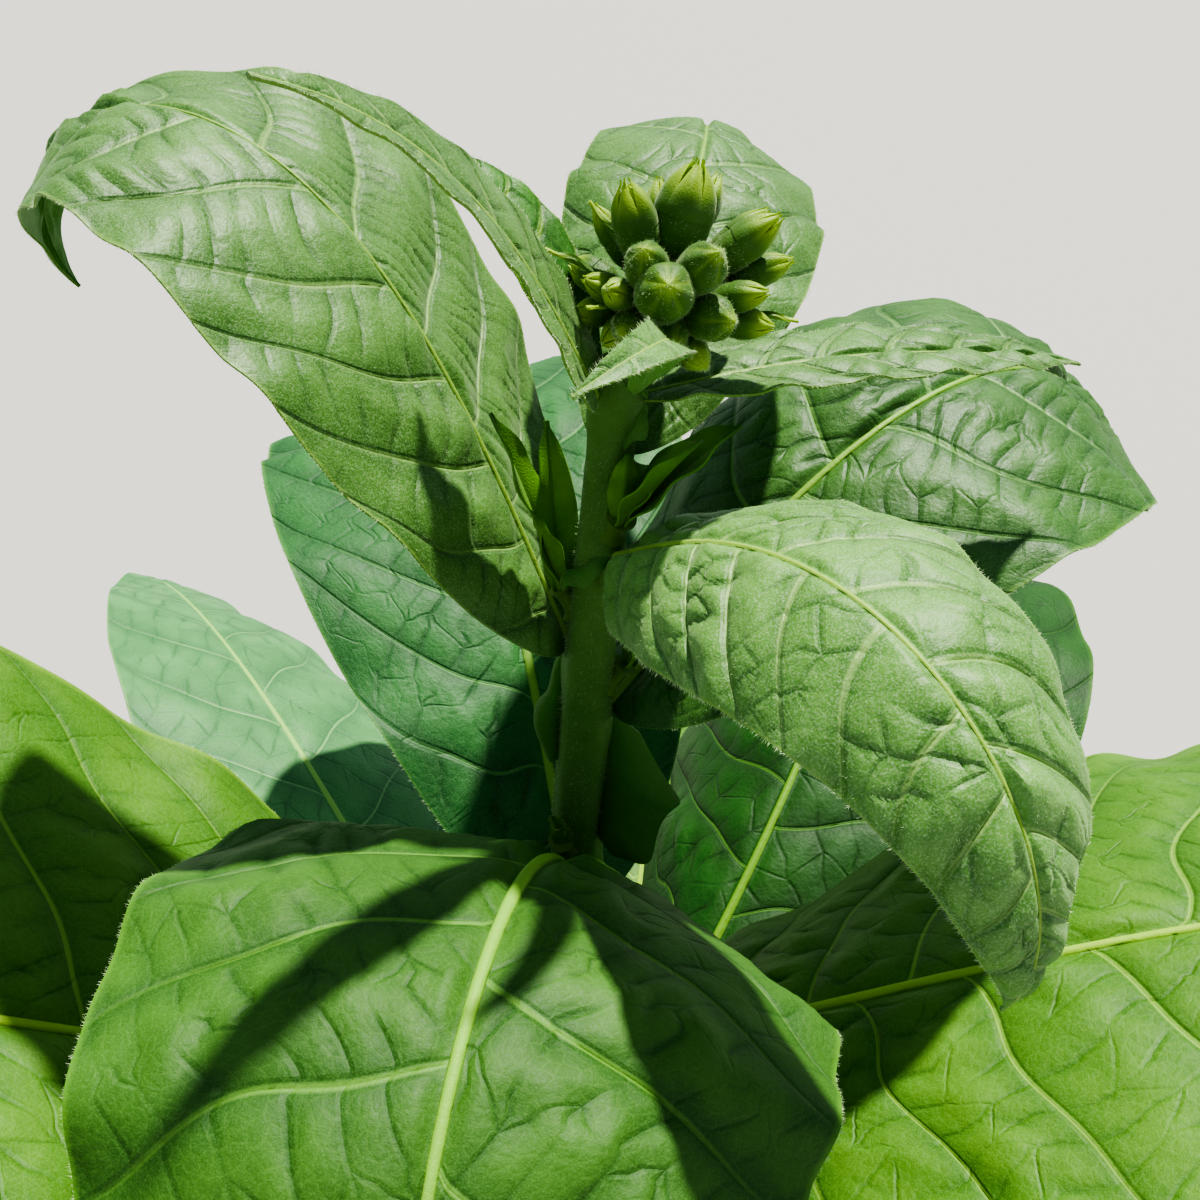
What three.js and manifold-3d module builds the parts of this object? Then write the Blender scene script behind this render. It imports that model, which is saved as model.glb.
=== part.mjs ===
// Tobacco plant in green bud: one upright stem, sessile leaves in a spiral, and a close
// head of flower buds. Millimetres, +Z up, origin at the middle of the flat stem cut at ground level.
// +X is to the right and +Y to the back. Headings are degrees round the stem from +X.
import * as THREE from "three";
import { mergeVertices } from "three/addons/utils/BufferGeometryUtils.js";
import Module from "manifold-3d";

const wasm = await Module();
wasm.setup();

// Stem
const STEM_TOP = 1268;
const STEM_RADIUS_FOOT = 13;
const STEM_RADIUS_TOP = 3.2;
const STEM_TAPER = 0.62;
const FLARE_EXTRA = 9;
const FLARE_HEIGHT = 28;
const STEM_SIDES = 14;
const FLARE_LEVELS = [0, 6, 14, 26, 44, 70, 110];
const STEM_STEP = 70;
const LEAN_STEP = 18;
const STEM_BOW = 5;
const STRAIGHT_TO = 1160;
const TOP_LEAN = 7.3;
const TOP_LEAN_RISE = 100;
const TOP_LEAN_POWER = 1.2;

// Leaves
const CLEAR = 0.3;
const THICKNESS_SHARE = 0.0105;
const LEAST_THICKNESS = 0.6;
const TIP_HALF_WIDTH = 0.5;
const MIDRIB_STEPS = 8;
const LARGE_GRID = [4, 13];
const SMALL_GRID = [4, 8];
const LOWER_GRID = [4, 9];
const LEAFLET_GRID = [2, 4];
const SMALL_LENGTH = 100;
const FOOT_SHARE = 0.1;
const FOOT_REACH = 0.1;
const EDGE_POWER = 0.85;
const TIP_PINCH = 0.35;
const TIP_PINCH_SHARE = 0.07;

// Spiral of the lower leaves, counted down from the lowest leaf of the fitted ones
const SPIRAL_TURN = 137.5;
const LOWER_LEAVES = 17;
const LOWER_START_HEADING = 358.5;
const LOWER_START_LEVEL = 968;
const LOWER_GAP_FIRST = 34;
const LOWER_GAP_GROWTH = 1.9;
const LOWER_LENGTH_TOP = 385;
const LOWER_LENGTH_MOST = 490;
const LOWER_LENGTH_FOOT = 320;
const LOWER_WIDTH_SHARE = 0.48;

const COLOURS = {
  stem: "#5f9a34",
  leaf: "#5b9444",
  youngLeaf: "#6ba24b",
  buds: "#6d9a2f",
  shoots: "#7dab3a",
};

const LEAF_ROUGHNESS = 0.6;

const deg = THREE.MathUtils.degToRad;
const clamp = THREE.MathUtils.clamp;

// Middle of the stem at height z: a slight bow, then a lean to the right at the top.
function stemMiddle(z) {
  const low = clamp(z / STRAIGHT_TO, 0, 1);
  const high = clamp((z - STRAIGHT_TO) / TOP_LEAN_RISE, 0, 1.1);
  const x = TOP_LEAN * high ** TOP_LEAN_POWER - low;
  const y = STEM_BOW * Math.sin(Math.PI * low);
  return new THREE.Vector3(x, y, z);
}

function stemRadius(z) {
  const up = clamp(z / STEM_TOP, 0, 1);
  const taper = STEM_RADIUS_TOP + (STEM_RADIUS_FOOT - STEM_RADIUS_TOP) * (1 - up) ** STEM_TAPER;
  return taper + FLARE_EXTRA * Math.exp(-z / FLARE_HEIGHT);
}

// Half-width of a blade at share s of its length, as a share of the widest half-width.
function bladeShare(s, widest) {
  const rise = (EDGE_POWER * widest) / (1 - widest);
  const here = s ** rise * (1 - s) ** EDGE_POWER;
  const most = widest ** rise * (1 - widest) ** EDGE_POWER;
  const pinch = 1 - TIP_PINCH * Math.exp(-(((1 - s) / TIP_PINCH_SHARE) ** 2));
  const foot = FOOT_SHARE * Math.exp(-((s / FOOT_REACH) ** 2));
  return (here / most) * pinch + foot;
}

// One blade as a bent and folded slab. The midrib starts at `from`, heads off at `heading` and
// `rise`, droops by `droop` towards the tip (later for a higher `bend`) and swings by `sway`.
// `roll` and `twist` turn the blade about its midrib. `fold` lifts the two halves and `curl`
// bends them on towards the margin: first the left half seen from the stem, then the right.
function bladeGeometry(leaf, from, across, along) {
  const thickness = Math.max(leaf.length * THICKNESS_SHARE, LEAST_THICKNESS);
  const slab = new THREE.BoxGeometry(2, 1, 1, across, along, 1);
  const steps = along * MIDRIB_STEPS;
  const middles = [from.clone()];
  const headings = [];
  for (let i = 0; i <= steps; i++) {
    const s = i / steps;
    const pitch = deg(leaf.rise - leaf.droop * s ** leaf.bend);
    const yaw = deg(leaf.heading + leaf.sway * s);
    headings.push(new THREE.Vector3(
      Math.cos(pitch) * Math.cos(yaw),
      Math.cos(pitch) * Math.sin(yaw),
      Math.sin(pitch),
    ));
    if (i > 0) {
      const stride = headings[i - 1].clone().add(headings[i]);
      stride.multiplyScalar(leaf.length / steps / 2);
      middles.push(middles[i - 1].clone().add(stride));
    }
  }
  const position = slab.attributes.position;
  const point = new THREE.Vector3();
  for (let i = 0; i < position.count; i++) {
    point.fromBufferAttribute(position, i);
    const side = -point.x;
    const s = clamp(point.y + 0.5, 0, 1);
    const row = Math.round(s * steps);
    const ahead = headings[row];
    const yaw = deg(leaf.heading + leaf.sway * s);
    const level = new THREE.Vector3(-Math.sin(yaw), Math.cos(yaw), 0);
    const turn = deg(leaf.roll + leaf.twist * s);
    const upright = ahead.clone().cross(level);
    const left = level.clone().multiplyScalar(Math.cos(turn));
    left.addScaledVector(upright, Math.sin(turn));
    const up = ahead.clone().cross(left);
    const half = Math.max((leaf.width / 2) * bladeShare(s, leaf.widest), TIP_HALF_WIDTH);
    const [leftFold, rightFold] = leaf.fold;
    const [leftCurl, rightCurl] = leaf.curl;
    const out = Math.abs(side);
    const lift = side > 0
      ? deg(leftFold + (leftCurl * out) / 2)
      : deg(rightFold + (rightCurl * out) / 2);
    const outward = Math.sign(side);
    const face = up.clone().multiplyScalar(Math.cos(lift));
    face.addScaledVector(left, -outward * Math.sin(lift));
    const place = middles[row].clone();
    place.addScaledVector(left, half * side * Math.cos(lift));
    place.addScaledVector(up, half * out * Math.sin(lift));
    place.addScaledVector(face, point.z * thickness);
    position.setXYZ(i, place.x, place.y, place.z);
  }
  return bare(slab);
}

// Only the positions, with the seams of the box closed.
function bare(geometry) {
  const shell = new THREE.BufferGeometry();
  shell.setAttribute("position", geometry.attributes.position.clone());
  if (geometry.index) shell.setIndex(geometry.index.clone());
  return mergeVertices(shell, 1e-4);
}

// A leaf that starts clear of the stem by CLEAR, whatever the slope of its foot.
function stemLeaf(leaf, across, along) {
  const yaw = deg(leaf.heading);
  const outward = new THREE.Vector3(Math.cos(yaw), Math.sin(yaw), 0);
  const from = stemMiddle(leaf.level);
  from.addScaledVector(outward, stemRadius(leaf.level) + CLEAR);
  const geometry = bladeGeometry(leaf, from, across, along);
  const near = leastStemDistance(geometry);
  const push = outward.multiplyScalar(CLEAR - near);
  return geometry.translate(push.x, push.y, push.z);
}

function leastStemDistance(geometry) {
  const position = geometry.attributes.position;
  const point = new THREE.Vector3();
  let least = Infinity;
  for (let i = 0; i < position.count; i++) {
    point.fromBufferAttribute(position, i);
    if (point.z > STEM_TOP || point.z < 0) continue;
    const middle = stemMiddle(point.z);
    const reach = Math.hypot(point.x - middle.x, point.y - middle.y);
    least = Math.min(least, reach - stemRadius(point.z));
  }
  return least;
}

function toManifold(geometry) {
  const merged = geometry.index ? geometry : mergeVertices(geometry, 1e-4);
  return new wasm.Manifold(new wasm.Mesh({
    numProp: 3,
    vertProperties: new Float32Array(merged.attributes.position.array),
    triVerts: new Uint32Array(merged.index.array),
  }));
}

function fused(geometries) {
  let whole = toManifold(geometries[0]);
  for (const geometry of geometries.slice(1)) {
    whole = whole.add(toManifold(geometry));
  }
  const mesh = whole.getMesh();
  const result = new THREE.BufferGeometry();
  result.setAttribute("position", new THREE.BufferAttribute(mesh.vertProperties, 3));
  result.setIndex(new THREE.BufferAttribute(mesh.triVerts, 1));
  return result;
}

function stemGeometry() {
  const levels = [...FLARE_LEVELS];
  const above = levels.at(-1) + STEM_STEP;
  for (let z = above; z < STRAIGHT_TO - LEAN_STEP; z += STEM_STEP) levels.push(z);
  for (let z = STRAIGHT_TO; z < STEM_TOP - LEAN_STEP / 2; z += LEAN_STEP) levels.push(z);
  levels.push(STEM_TOP);
  const profile = [new THREE.Vector2(0, 0)];
  for (const z of levels) profile.push(new THREE.Vector2(stemRadius(z), z));
  profile.push(new THREE.Vector2(0, STEM_TOP));
  const lathe = new THREE.LatheGeometry(profile, STEM_SIDES);
  lathe.rotateX(Math.PI / 2);
  const position = lathe.attributes.position;
  for (let i = 0; i < position.count; i++) {
    const z = position.getZ(i);
    const middle = stemMiddle(z);
    position.setXYZ(i, position.getX(i) + middle.x, position.getY(i) + middle.y, z);
  }
  return bare(lathe);
}

// Leaves read from the visible part of the plant, from the top of the stem down.
const VISIBLE_LEAVES = [
  {
    name: "leaf_bract_back_left", level: 1262, heading: 136, rise: 65, droop: 38, bend: 1.3,
    sway: 11, roll: -2, twist: -8, length: 46, width: 14, widest: 0.54,
    fold: [4, 5], curl: [-5, -4], young: true,
  },
  {
    name: "leaf_bract_front", level: 1264, heading: 311, rise: 54, droop: 76, bend: 1.35,
    sway: -98.5, roll: -26, twist: -9, length: 52.5, width: 7.6, widest: 0.44,
    fold: [8, 10], curl: [-1, 0], young: true,
  },
  {
    name: "leaf_right_slender", level: 1262, heading: 10, rise: 12, droop: 28, bend: 1,
    sway: 7, roll: 2, twist: 1, length: 84, width: 19, widest: 0.44,
    fold: [8, 6], curl: [-6, -9], young: true,
  },
  {
    name: "leaf_left_folded", level: 1264, heading: 228, rise: 62.5, droop: 46, bend: 1.8,
    sway: -2, roll: -46, twist: 34, length: 82, width: 18.5, widest: 0.32,
    fold: [-3, 15], curl: [-4, 2], young: true,
  },
  {
    name: "leaf_back_top", level: 1250, heading: 67, rise: 35, droop: 87, bend: 2.2,
    sway: 25, roll: -4, twist: 25, length: 130, width: 54, widest: 0.47,
    fold: [-6, -1], curl: [-26, -27], young: true,
  },
  {
    name: "leaf_right_front", level: 1233, heading: 301, rise: 36, droop: 151, bend: 2,
    sway: 2, roll: 18, twist: -20, length: 135, width: 46, widest: 0.38,
    fold: [-3, -14], curl: [-21, -44], young: true,
  },
  {
    name: "leaf_left_back", level: 1207.5, heading: 138, rise: 62, droop: 192, bend: 3.25,
    sway: 37, roll: 19, twist: -40, length: 183, width: 80, widest: 0.46,
    fold: [-3, -21], curl: [-3, 23], young: true,
  },
  {
    name: "leaf_right_back", level: 1193, heading: 31, rise: 41, droop: 167, bend: 2.2,
    sway: 5, roll: 3, twist: 31, length: 201, width: 91, widest: 0.45,
    fold: [7, 4], curl: [-59, -9],
  },
  {
    name: "leaf_front", level: 1153, heading: 257, rise: 61, droop: 190, bend: 1.25,
    sway: 8, roll: -4, twist: -1, length: 205, width: 123, widest: 0.31,
    fold: [-5, 0], curl: [-25, -15],
  },
  {
    name: "leaf_back", level: 1129, heading: 103, rise: 42, droop: 144, bend: 1.6,
    sway: 7, roll: -2, twist: -13, length: 302, width: 115, widest: 0.47,
    fold: [8, 11], curl: [-9, -23],
  },
  {
    name: "leaf_right_low", level: 1082, heading: 347, rise: 34, droop: 101, bend: 2.3,
    sway: 21, roll: -2, twist: -7, length: 331, width: 179, widest: 0.47,
    fold: [-3, 0], curl: [-25, -15],
  },
  {
    name: "leaf_left_low", level: 1058, heading: 204, rise: 43, droop: 29, bend: 2,
    sway: -9, roll: -3, twist: -1, length: 349, width: 185, widest: 0.5,
    fold: [5, 9], curl: [-10, -2],
  },
  {
    name: "leaf_right_back_low", level: 1031, heading: 49, rise: 31, droop: 144, bend: 2.5,
    sway: 38, roll: -1, twist: -19, length: 359, width: 159, widest: 0.51,
    fold: [-12, -11], curl: [-50, -10],
  },
  {
    name: "leaf_front_low", level: 1000, heading: 286, rise: 34, droop: 95, bend: 1.8,
    sway: 6, roll: 0, twist: 8, length: 365, width: 165, widest: 0.48,
    fold: [4, 4], curl: [-18, -18],
  },
  {
    name: "leaf_left_back_low", level: 970, heading: 124, rise: 27, droop: 56, bend: 1.4,
    sway: 0, roll: 3, twist: 28, length: 420, width: 112, widest: 0.45,
    fold: [3, 0], curl: [-8, -21],
  },
];

// The leaves below, by the spiral: larger to the middle of the stem, smaller again at its foot.
function lowerLeaves() {
  const leaves = [];
  let level = LOWER_START_LEVEL;
  for (let i = 0; i < LOWER_LEAVES; i++) {
    const down = i / (LOWER_LEAVES - 1);
    level -= LOWER_GAP_FIRST + LOWER_GAP_GROWTH * (i + 1);
    const hump = Math.sin(Math.PI * Math.min(down * 0.9 + 0.25, 1));
    const ends = LOWER_LENGTH_TOP + (LOWER_LENGTH_FOOT - LOWER_LENGTH_TOP) * down;
    const length = ends + (LOWER_LENGTH_MOST - ends) * hump;
    leaves.push({
      name: "leaf_low_" + String(i + 1).padStart(2, "0"),
      level,
      heading: (LOWER_START_HEADING - SPIRAL_TURN * i + 3600) % 360,
      rise: 37 - 7 * down + 4 * Math.sin(i * 2.3),
      droop: 98 - 26 * down + 7 * Math.sin(i * 1.7),
      bend: 1.7 + 0.2 * Math.sin(i * 3.1),
      sway: 7 * Math.sin(i * 2.9),
      roll: 5 * Math.sin(i * 1.3),
      twist: 10 * Math.sin(i * 2.1 + 1),
      length,
      width: length * LOWER_WIDTH_SHARE,
      widest: 0.47,
      fold: [5, 5],
      curl: [-20 + 6 * Math.sin(i), -20 - 6 * Math.sin(i)],
    });
  }
  return leaves;
}

// Bud head: buds stand out from one hub on short stalks.
const HUB = new THREE.Vector3(13, 3, 1276);
const HUB_RADIUS = 3.6;
const STALK_RADIUS = 1.1;
const NECK_SIDES = 10;
const BUD_SIDES = 6;
// Share of the length against share of the width, from the stalk to the closed tip.
const BUD_PROFILE = [[0, 0.5], [0.2, 0.94], [0.6, 0.94], [0.85, 0.46]];
// Heading, rise, reach of the tip from the hub, length and width of each bud.
const BUDS = [
  [26, 73, 23.7, 15.5, 9.8],
  [191, 76, 21.4, 13, 7],
  [258, 48, 19.7, 10.5, 6.8],
  [273, 31, 21, 12, 9],
  [304, 42, 21.2, 10.5, 7.2],
  [312, 10, 17.9, 10.5, 7.2],
  [280, -2, 14.2, 8, 6.2],
  [357, 39, 24.3, 12.5, 6.2],
  [19, 37, 23.4, 11, 5],
  [332, 18, 19.9, 9, 4.6],
  [3, 20, 22.9, 10, 5],
  [48, 50, 23.7, 12, 5],
  [88, 64, 20.4, 11, 4.8],
  [153, 54, 18.8, 10, 4.2],
  [204, 29, 14.4, 9, 4.6],
  [234, 29, 15.5, 7, 4.4],
  [342, -2, 19.3, 9, 5.2],
  [352, 3, 23, 10, 2.2],
  [183, 35, 20.4, 13, 2.6],
  [112, 34, 20, 11, 7],
  [72, 24, 21, 11, 6.8],
  [35, 12, 19, 10, 6],
  [148, 16, 17, 9, 5.6],
];

// Side shoots in the angles between a leaf and the stem: small leaflets on a stub.
const STUB_RADIUS = 1.9;
const SHOOTS = [
  {
    name: "shoot_left_back", level: 1220, heading: 158,
    leaflets: [
      { heading: 163, rise: 76, length: 38, width: 9 },
      { heading: 110, rise: 84, length: 27, width: 7 },
      { heading: 225, rise: 78, length: 22, width: 6 },
    ],
  },
  {
    name: "shoot_right_front", level: 1243, heading: 300,
    leaflets: [
      { heading: 285, rise: 84, length: 17, width: 6 },
      { heading: 335, rise: 60, length: 25, width: 12 },
      { heading: 5, rise: 58, length: 20, width: 7 },
      { heading: 10, rise: 46, length: 27, width: 12 },
    ],
  },
  {
    name: "shoot_right_back", level: 1203, heading: 5,
    leaflets: [
      { heading: 350, rise: 66, length: 17, width: 5 },
      { heading: 20, rise: 76, length: 14, width: 4 },
    ],
  },
  {
    name: "shoot_front", level: 1163, heading: 245,
    leaflets: [
      { heading: 240, rise: 80, length: 12, width: 5 },
      { heading: 285, rise: 76, length: 9, width: 4 },
    ],
  },
];
const LEAFLET = {
  droop: 12, bend: 1.5, sway: 0, roll: 0, twist: 0, widest: 0.45, fold: [22, 22], curl: [0, 0],
};

function budGeometry(heading, rise, reach, length, width) {
  const stalk = Math.max(reach - length, 1);
  const profile = [new THREE.Vector2(0, 0), new THREE.Vector2(STALK_RADIUS, 0)];
  profile.push(new THREE.Vector2(STALK_RADIUS, stalk));
  for (const [up, out] of BUD_PROFILE) {
    profile.push(new THREE.Vector2((out * width) / 2, stalk + up * length + 0.01));
  }
  profile.push(new THREE.Vector2(0, stalk + length));
  const bud = bare(new THREE.LatheGeometry(profile, BUD_SIDES));
  bud.rotateX(Math.PI / 2);
  const yaw = deg(heading);
  const pitch = deg(rise);
  const ahead = new THREE.Vector3(
    Math.cos(pitch) * Math.cos(yaw),
    Math.cos(pitch) * Math.sin(yaw),
    Math.sin(pitch),
  );
  const turn = new THREE.Quaternion().setFromUnitVectors(new THREE.Vector3(0, 0, 1), ahead);
  bud.applyQuaternion(turn);
  return bud.translate(HUB.x, HUB.y, HUB.z);
}

function budHead() {
  const top = stemMiddle(STEM_TOP);
  const foot = new THREE.Vector3(top.x, top.y, STEM_TOP + CLEAR);
  const hub = new THREE.IcosahedronGeometry(HUB_RADIUS, 0).translate(HUB.x, HUB.y, HUB.z);
  const parts = [bare(hub)];
  const height = HUB.z - foot.z;
  const neck = new THREE.CylinderGeometry(HUB_RADIUS, STEM_RADIUS_TOP, height, NECK_SIDES, 3);
  neck.rotateX(Math.PI / 2).translate(foot.x, foot.y, foot.z + height / 2);
  const position = neck.attributes.position;
  for (let i = 0; i < position.count; i++) {
    const up = (position.getZ(i) - foot.z) / height;
    const ease = up * up * (3 - 2 * up);
    position.setX(i, position.getX(i) + (HUB.x - foot.x) * ease);
    position.setY(i, position.getY(i) + (HUB.y - foot.y) * ease);
  }
  parts.push(bare(neck));
  for (const bud of BUDS) parts.push(budGeometry(...bud));
  return fused(parts);
}

function sideShoot(shoot) {
  const yaw = deg(shoot.heading);
  const outward = new THREE.Vector3(Math.cos(yaw), Math.sin(yaw), 0);
  const from = stemMiddle(shoot.level);
  from.addScaledVector(outward, stemRadius(shoot.level) + CLEAR + STUB_RADIUS);
  const stub = new THREE.IcosahedronGeometry(STUB_RADIUS, 0);
  const parts = [bare(stub.translate(from.x, from.y, from.z))];
  for (const leaflet of shoot.leaflets) {
    parts.push(bladeGeometry({ ...LEAFLET, ...leaflet }, from, ...LEAFLET_GRID));
  }
  return fused(parts);
}

const part = new THREE.Group();
part.name = "tobacco_plant";

function addPiece(name, geometry, colour) {
  geometry.computeVertexNormals();
  const material = new THREE.MeshStandardMaterial({
    color: colour,
    roughness: LEAF_ROUGHNESS,
    metalness: 0,
  });
  const mesh = new THREE.Mesh(geometry, material);
  mesh.name = name;
  part.add(mesh);
}

addPiece("stem", stemGeometry(), COLOURS.stem);
for (const leaf of VISIBLE_LEAVES) {
  const grid = leaf.length < SMALL_LENGTH ? SMALL_GRID : LARGE_GRID;
  const colour = leaf.young ? COLOURS.youngLeaf : COLOURS.leaf;
  addPiece(leaf.name, stemLeaf(leaf, ...grid), colour);
}
for (const leaf of lowerLeaves()) {
  addPiece(leaf.name, stemLeaf(leaf, ...LOWER_GRID), COLOURS.leaf);
}
addPiece("flower_buds", budHead(), COLOURS.buds);
for (const shoot of SHOOTS) addPiece(shoot.name, sideShoot(shoot), COLOURS.shoots);

export default part;
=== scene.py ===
"""Looks of a tobacco plant in green bud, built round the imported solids.

Everything in Blender is in metres, +Z up, +X to the right and +Y to the back. Measures in the
tables below are millimetres, and headings are degrees round the stem from +X.
"""

import math

import bpy
import numpy as np
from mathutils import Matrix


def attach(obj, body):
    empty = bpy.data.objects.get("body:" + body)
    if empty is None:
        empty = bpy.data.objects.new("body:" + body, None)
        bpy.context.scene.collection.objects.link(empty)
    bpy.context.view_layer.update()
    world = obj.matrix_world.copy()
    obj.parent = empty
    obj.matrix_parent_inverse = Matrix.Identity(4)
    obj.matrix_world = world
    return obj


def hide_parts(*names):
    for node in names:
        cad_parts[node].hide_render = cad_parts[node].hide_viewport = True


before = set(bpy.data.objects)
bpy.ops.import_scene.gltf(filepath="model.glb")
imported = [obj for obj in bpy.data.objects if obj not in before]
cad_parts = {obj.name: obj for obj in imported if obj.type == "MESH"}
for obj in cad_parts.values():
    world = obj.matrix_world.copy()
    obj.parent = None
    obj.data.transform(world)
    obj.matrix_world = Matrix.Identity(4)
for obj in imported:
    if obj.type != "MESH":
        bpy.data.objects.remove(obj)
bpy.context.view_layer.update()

MM = 0.001


# Stem and blade rules, the same as in the part's source

STEM_TOP = 1268
STEM_RADIUS_FOOT = 13
STEM_RADIUS_TOP = 3.2
STEM_TAPER = 0.62
FLARE_EXTRA = 9
FLARE_HEIGHT = 28
STEM_BOW = 5
STRAIGHT_TO = 1160
TOP_LEAN = 7.3
TOP_LEAN_RISE = 100
TOP_LEAN_POWER = 1.2
TOP_LEAN_END = 1.1

TIP_HALF_WIDTH = 0.5
FOOT_SHARE = 0.1
FOOT_REACH = 0.1
EDGE_POWER = 0.85
TIP_PINCH = 0.35
TIP_PINCH_SHARE = 0.07
MIDRIB_MARKS = 241

SPIRAL_TURN = 137.5
LOWER_LEAVES = 17
LOWER_START_HEADING = 358.5
LOWER_START_LEVEL = 968
LOWER_GAP_FIRST = 34
LOWER_GAP_GROWTH = 1.9
LOWER_LENGTH_TOP = 385
LOWER_LENGTH_MOST = 490
LOWER_LENGTH_FOOT = 320
LOWER_WIDTH_SHARE = 0.48
LOWER_FINISHES = ["grown", "shaded", "sunny"]


def stem_middle(z):
    """Middle of the stem at heights z: a slight bow, then a lean to the right at the top."""
    z = np.asarray(z, float)
    low = np.clip(z / STRAIGHT_TO, 0, 1)
    high = np.clip((z - STRAIGHT_TO) / TOP_LEAN_RISE, 0, TOP_LEAN_END)
    x = TOP_LEAN * high**TOP_LEAN_POWER - low
    y = STEM_BOW * np.sin(np.pi * low)
    return np.stack([x, y, z], -1)


def stem_radius(z):
    """Radius of the stem at heights z, with the flare at its foot."""
    z = np.asarray(z, float)
    up = np.clip(z / STEM_TOP, 0, 1)
    taper = STEM_RADIUS_TOP + (STEM_RADIUS_FOOT - STEM_RADIUS_TOP) * (1 - up) ** STEM_TAPER
    return taper + FLARE_EXTRA * np.exp(-z / FLARE_HEIGHT)


def blade_share(s, widest):
    """Half-width of a blade at share s of its length, as a share of the widest half-width."""
    rise = EDGE_POWER * widest / (1 - widest)
    here = s**rise * (1 - s) ** EDGE_POWER
    most = widest**rise * (1 - widest) ** EDGE_POWER
    pinch = 1 - TIP_PINCH * np.exp(-(((1 - s) / TIP_PINCH_SHARE) ** 2))
    return here / most * pinch + FOOT_SHARE * np.exp(-((s / FOOT_REACH) ** 2))


def half_width(leaf, s):
    """Half the width of a blade at shares s of its length."""
    return np.maximum(leaf["width"] / 2 * blade_share(s, leaf["widest"]), TIP_HALF_WIDTH)


def heading_vector(heading, rise=0.0):
    """Unit vectors that point along a heading and rise, both in degrees."""
    yaw = np.radians(heading)
    pitch = np.radians(rise)
    flat = np.cos(pitch)
    return np.stack([flat * np.cos(yaw), flat * np.sin(yaw), np.sin(pitch) + 0 * yaw], -1)


def blade_frames(leaf, s):
    """The way ahead, the left and the upper side of a blade at shares s of its length."""
    yaw = leaf["heading"] + leaf["sway"] * s
    pitch = leaf["rise"] - leaf["droop"] * s ** leaf["bend"]
    ahead = heading_vector(yaw, pitch)
    level = heading_vector(yaw + 90)
    turn = np.radians(leaf["roll"] + leaf["twist"] * s)[..., None]
    upright = np.cross(ahead, level)
    left = level * np.cos(turn) + upright * np.sin(turn)
    return ahead, left, np.cross(ahead, left)


def blade_surface(leaf, start, s, v):
    """Points, face normals and half-widths of a blade at shares s of its length and v across it.

    v is 1 at the left margin seen from the stem and -1 at the right one."""
    marks = np.linspace(0, 1, MIDRIB_MARKS)
    steps = blade_frames(leaf, marks)[0]
    strides = (steps[1:] + steps[:-1]) / 2 * leaf["length"] / (MIDRIB_MARKS - 1)
    middles = np.vstack([np.zeros(3), np.cumsum(strides, 0)]) + start
    middle = np.stack([np.interp(s, marks, middles[:, i]) for i in range(3)], -1)
    _, left, up = blade_frames(leaf, s)
    half = half_width(leaf, s)
    fold = np.where(v > 0, leaf["fold"][0], leaf["fold"][1])
    curl = np.where(v > 0, leaf["curl"][0], leaf["curl"][1])
    out = np.abs(v)
    lift = np.radians(fold + curl * out / 2)
    face = up * np.cos(lift)[..., None] - left * (np.sign(v) * np.sin(lift))[..., None]
    point = middle + left * (half * v * np.cos(lift))[..., None]
    point = point + up * (half * out * np.sin(lift))[..., None]
    return point, face, half


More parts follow.
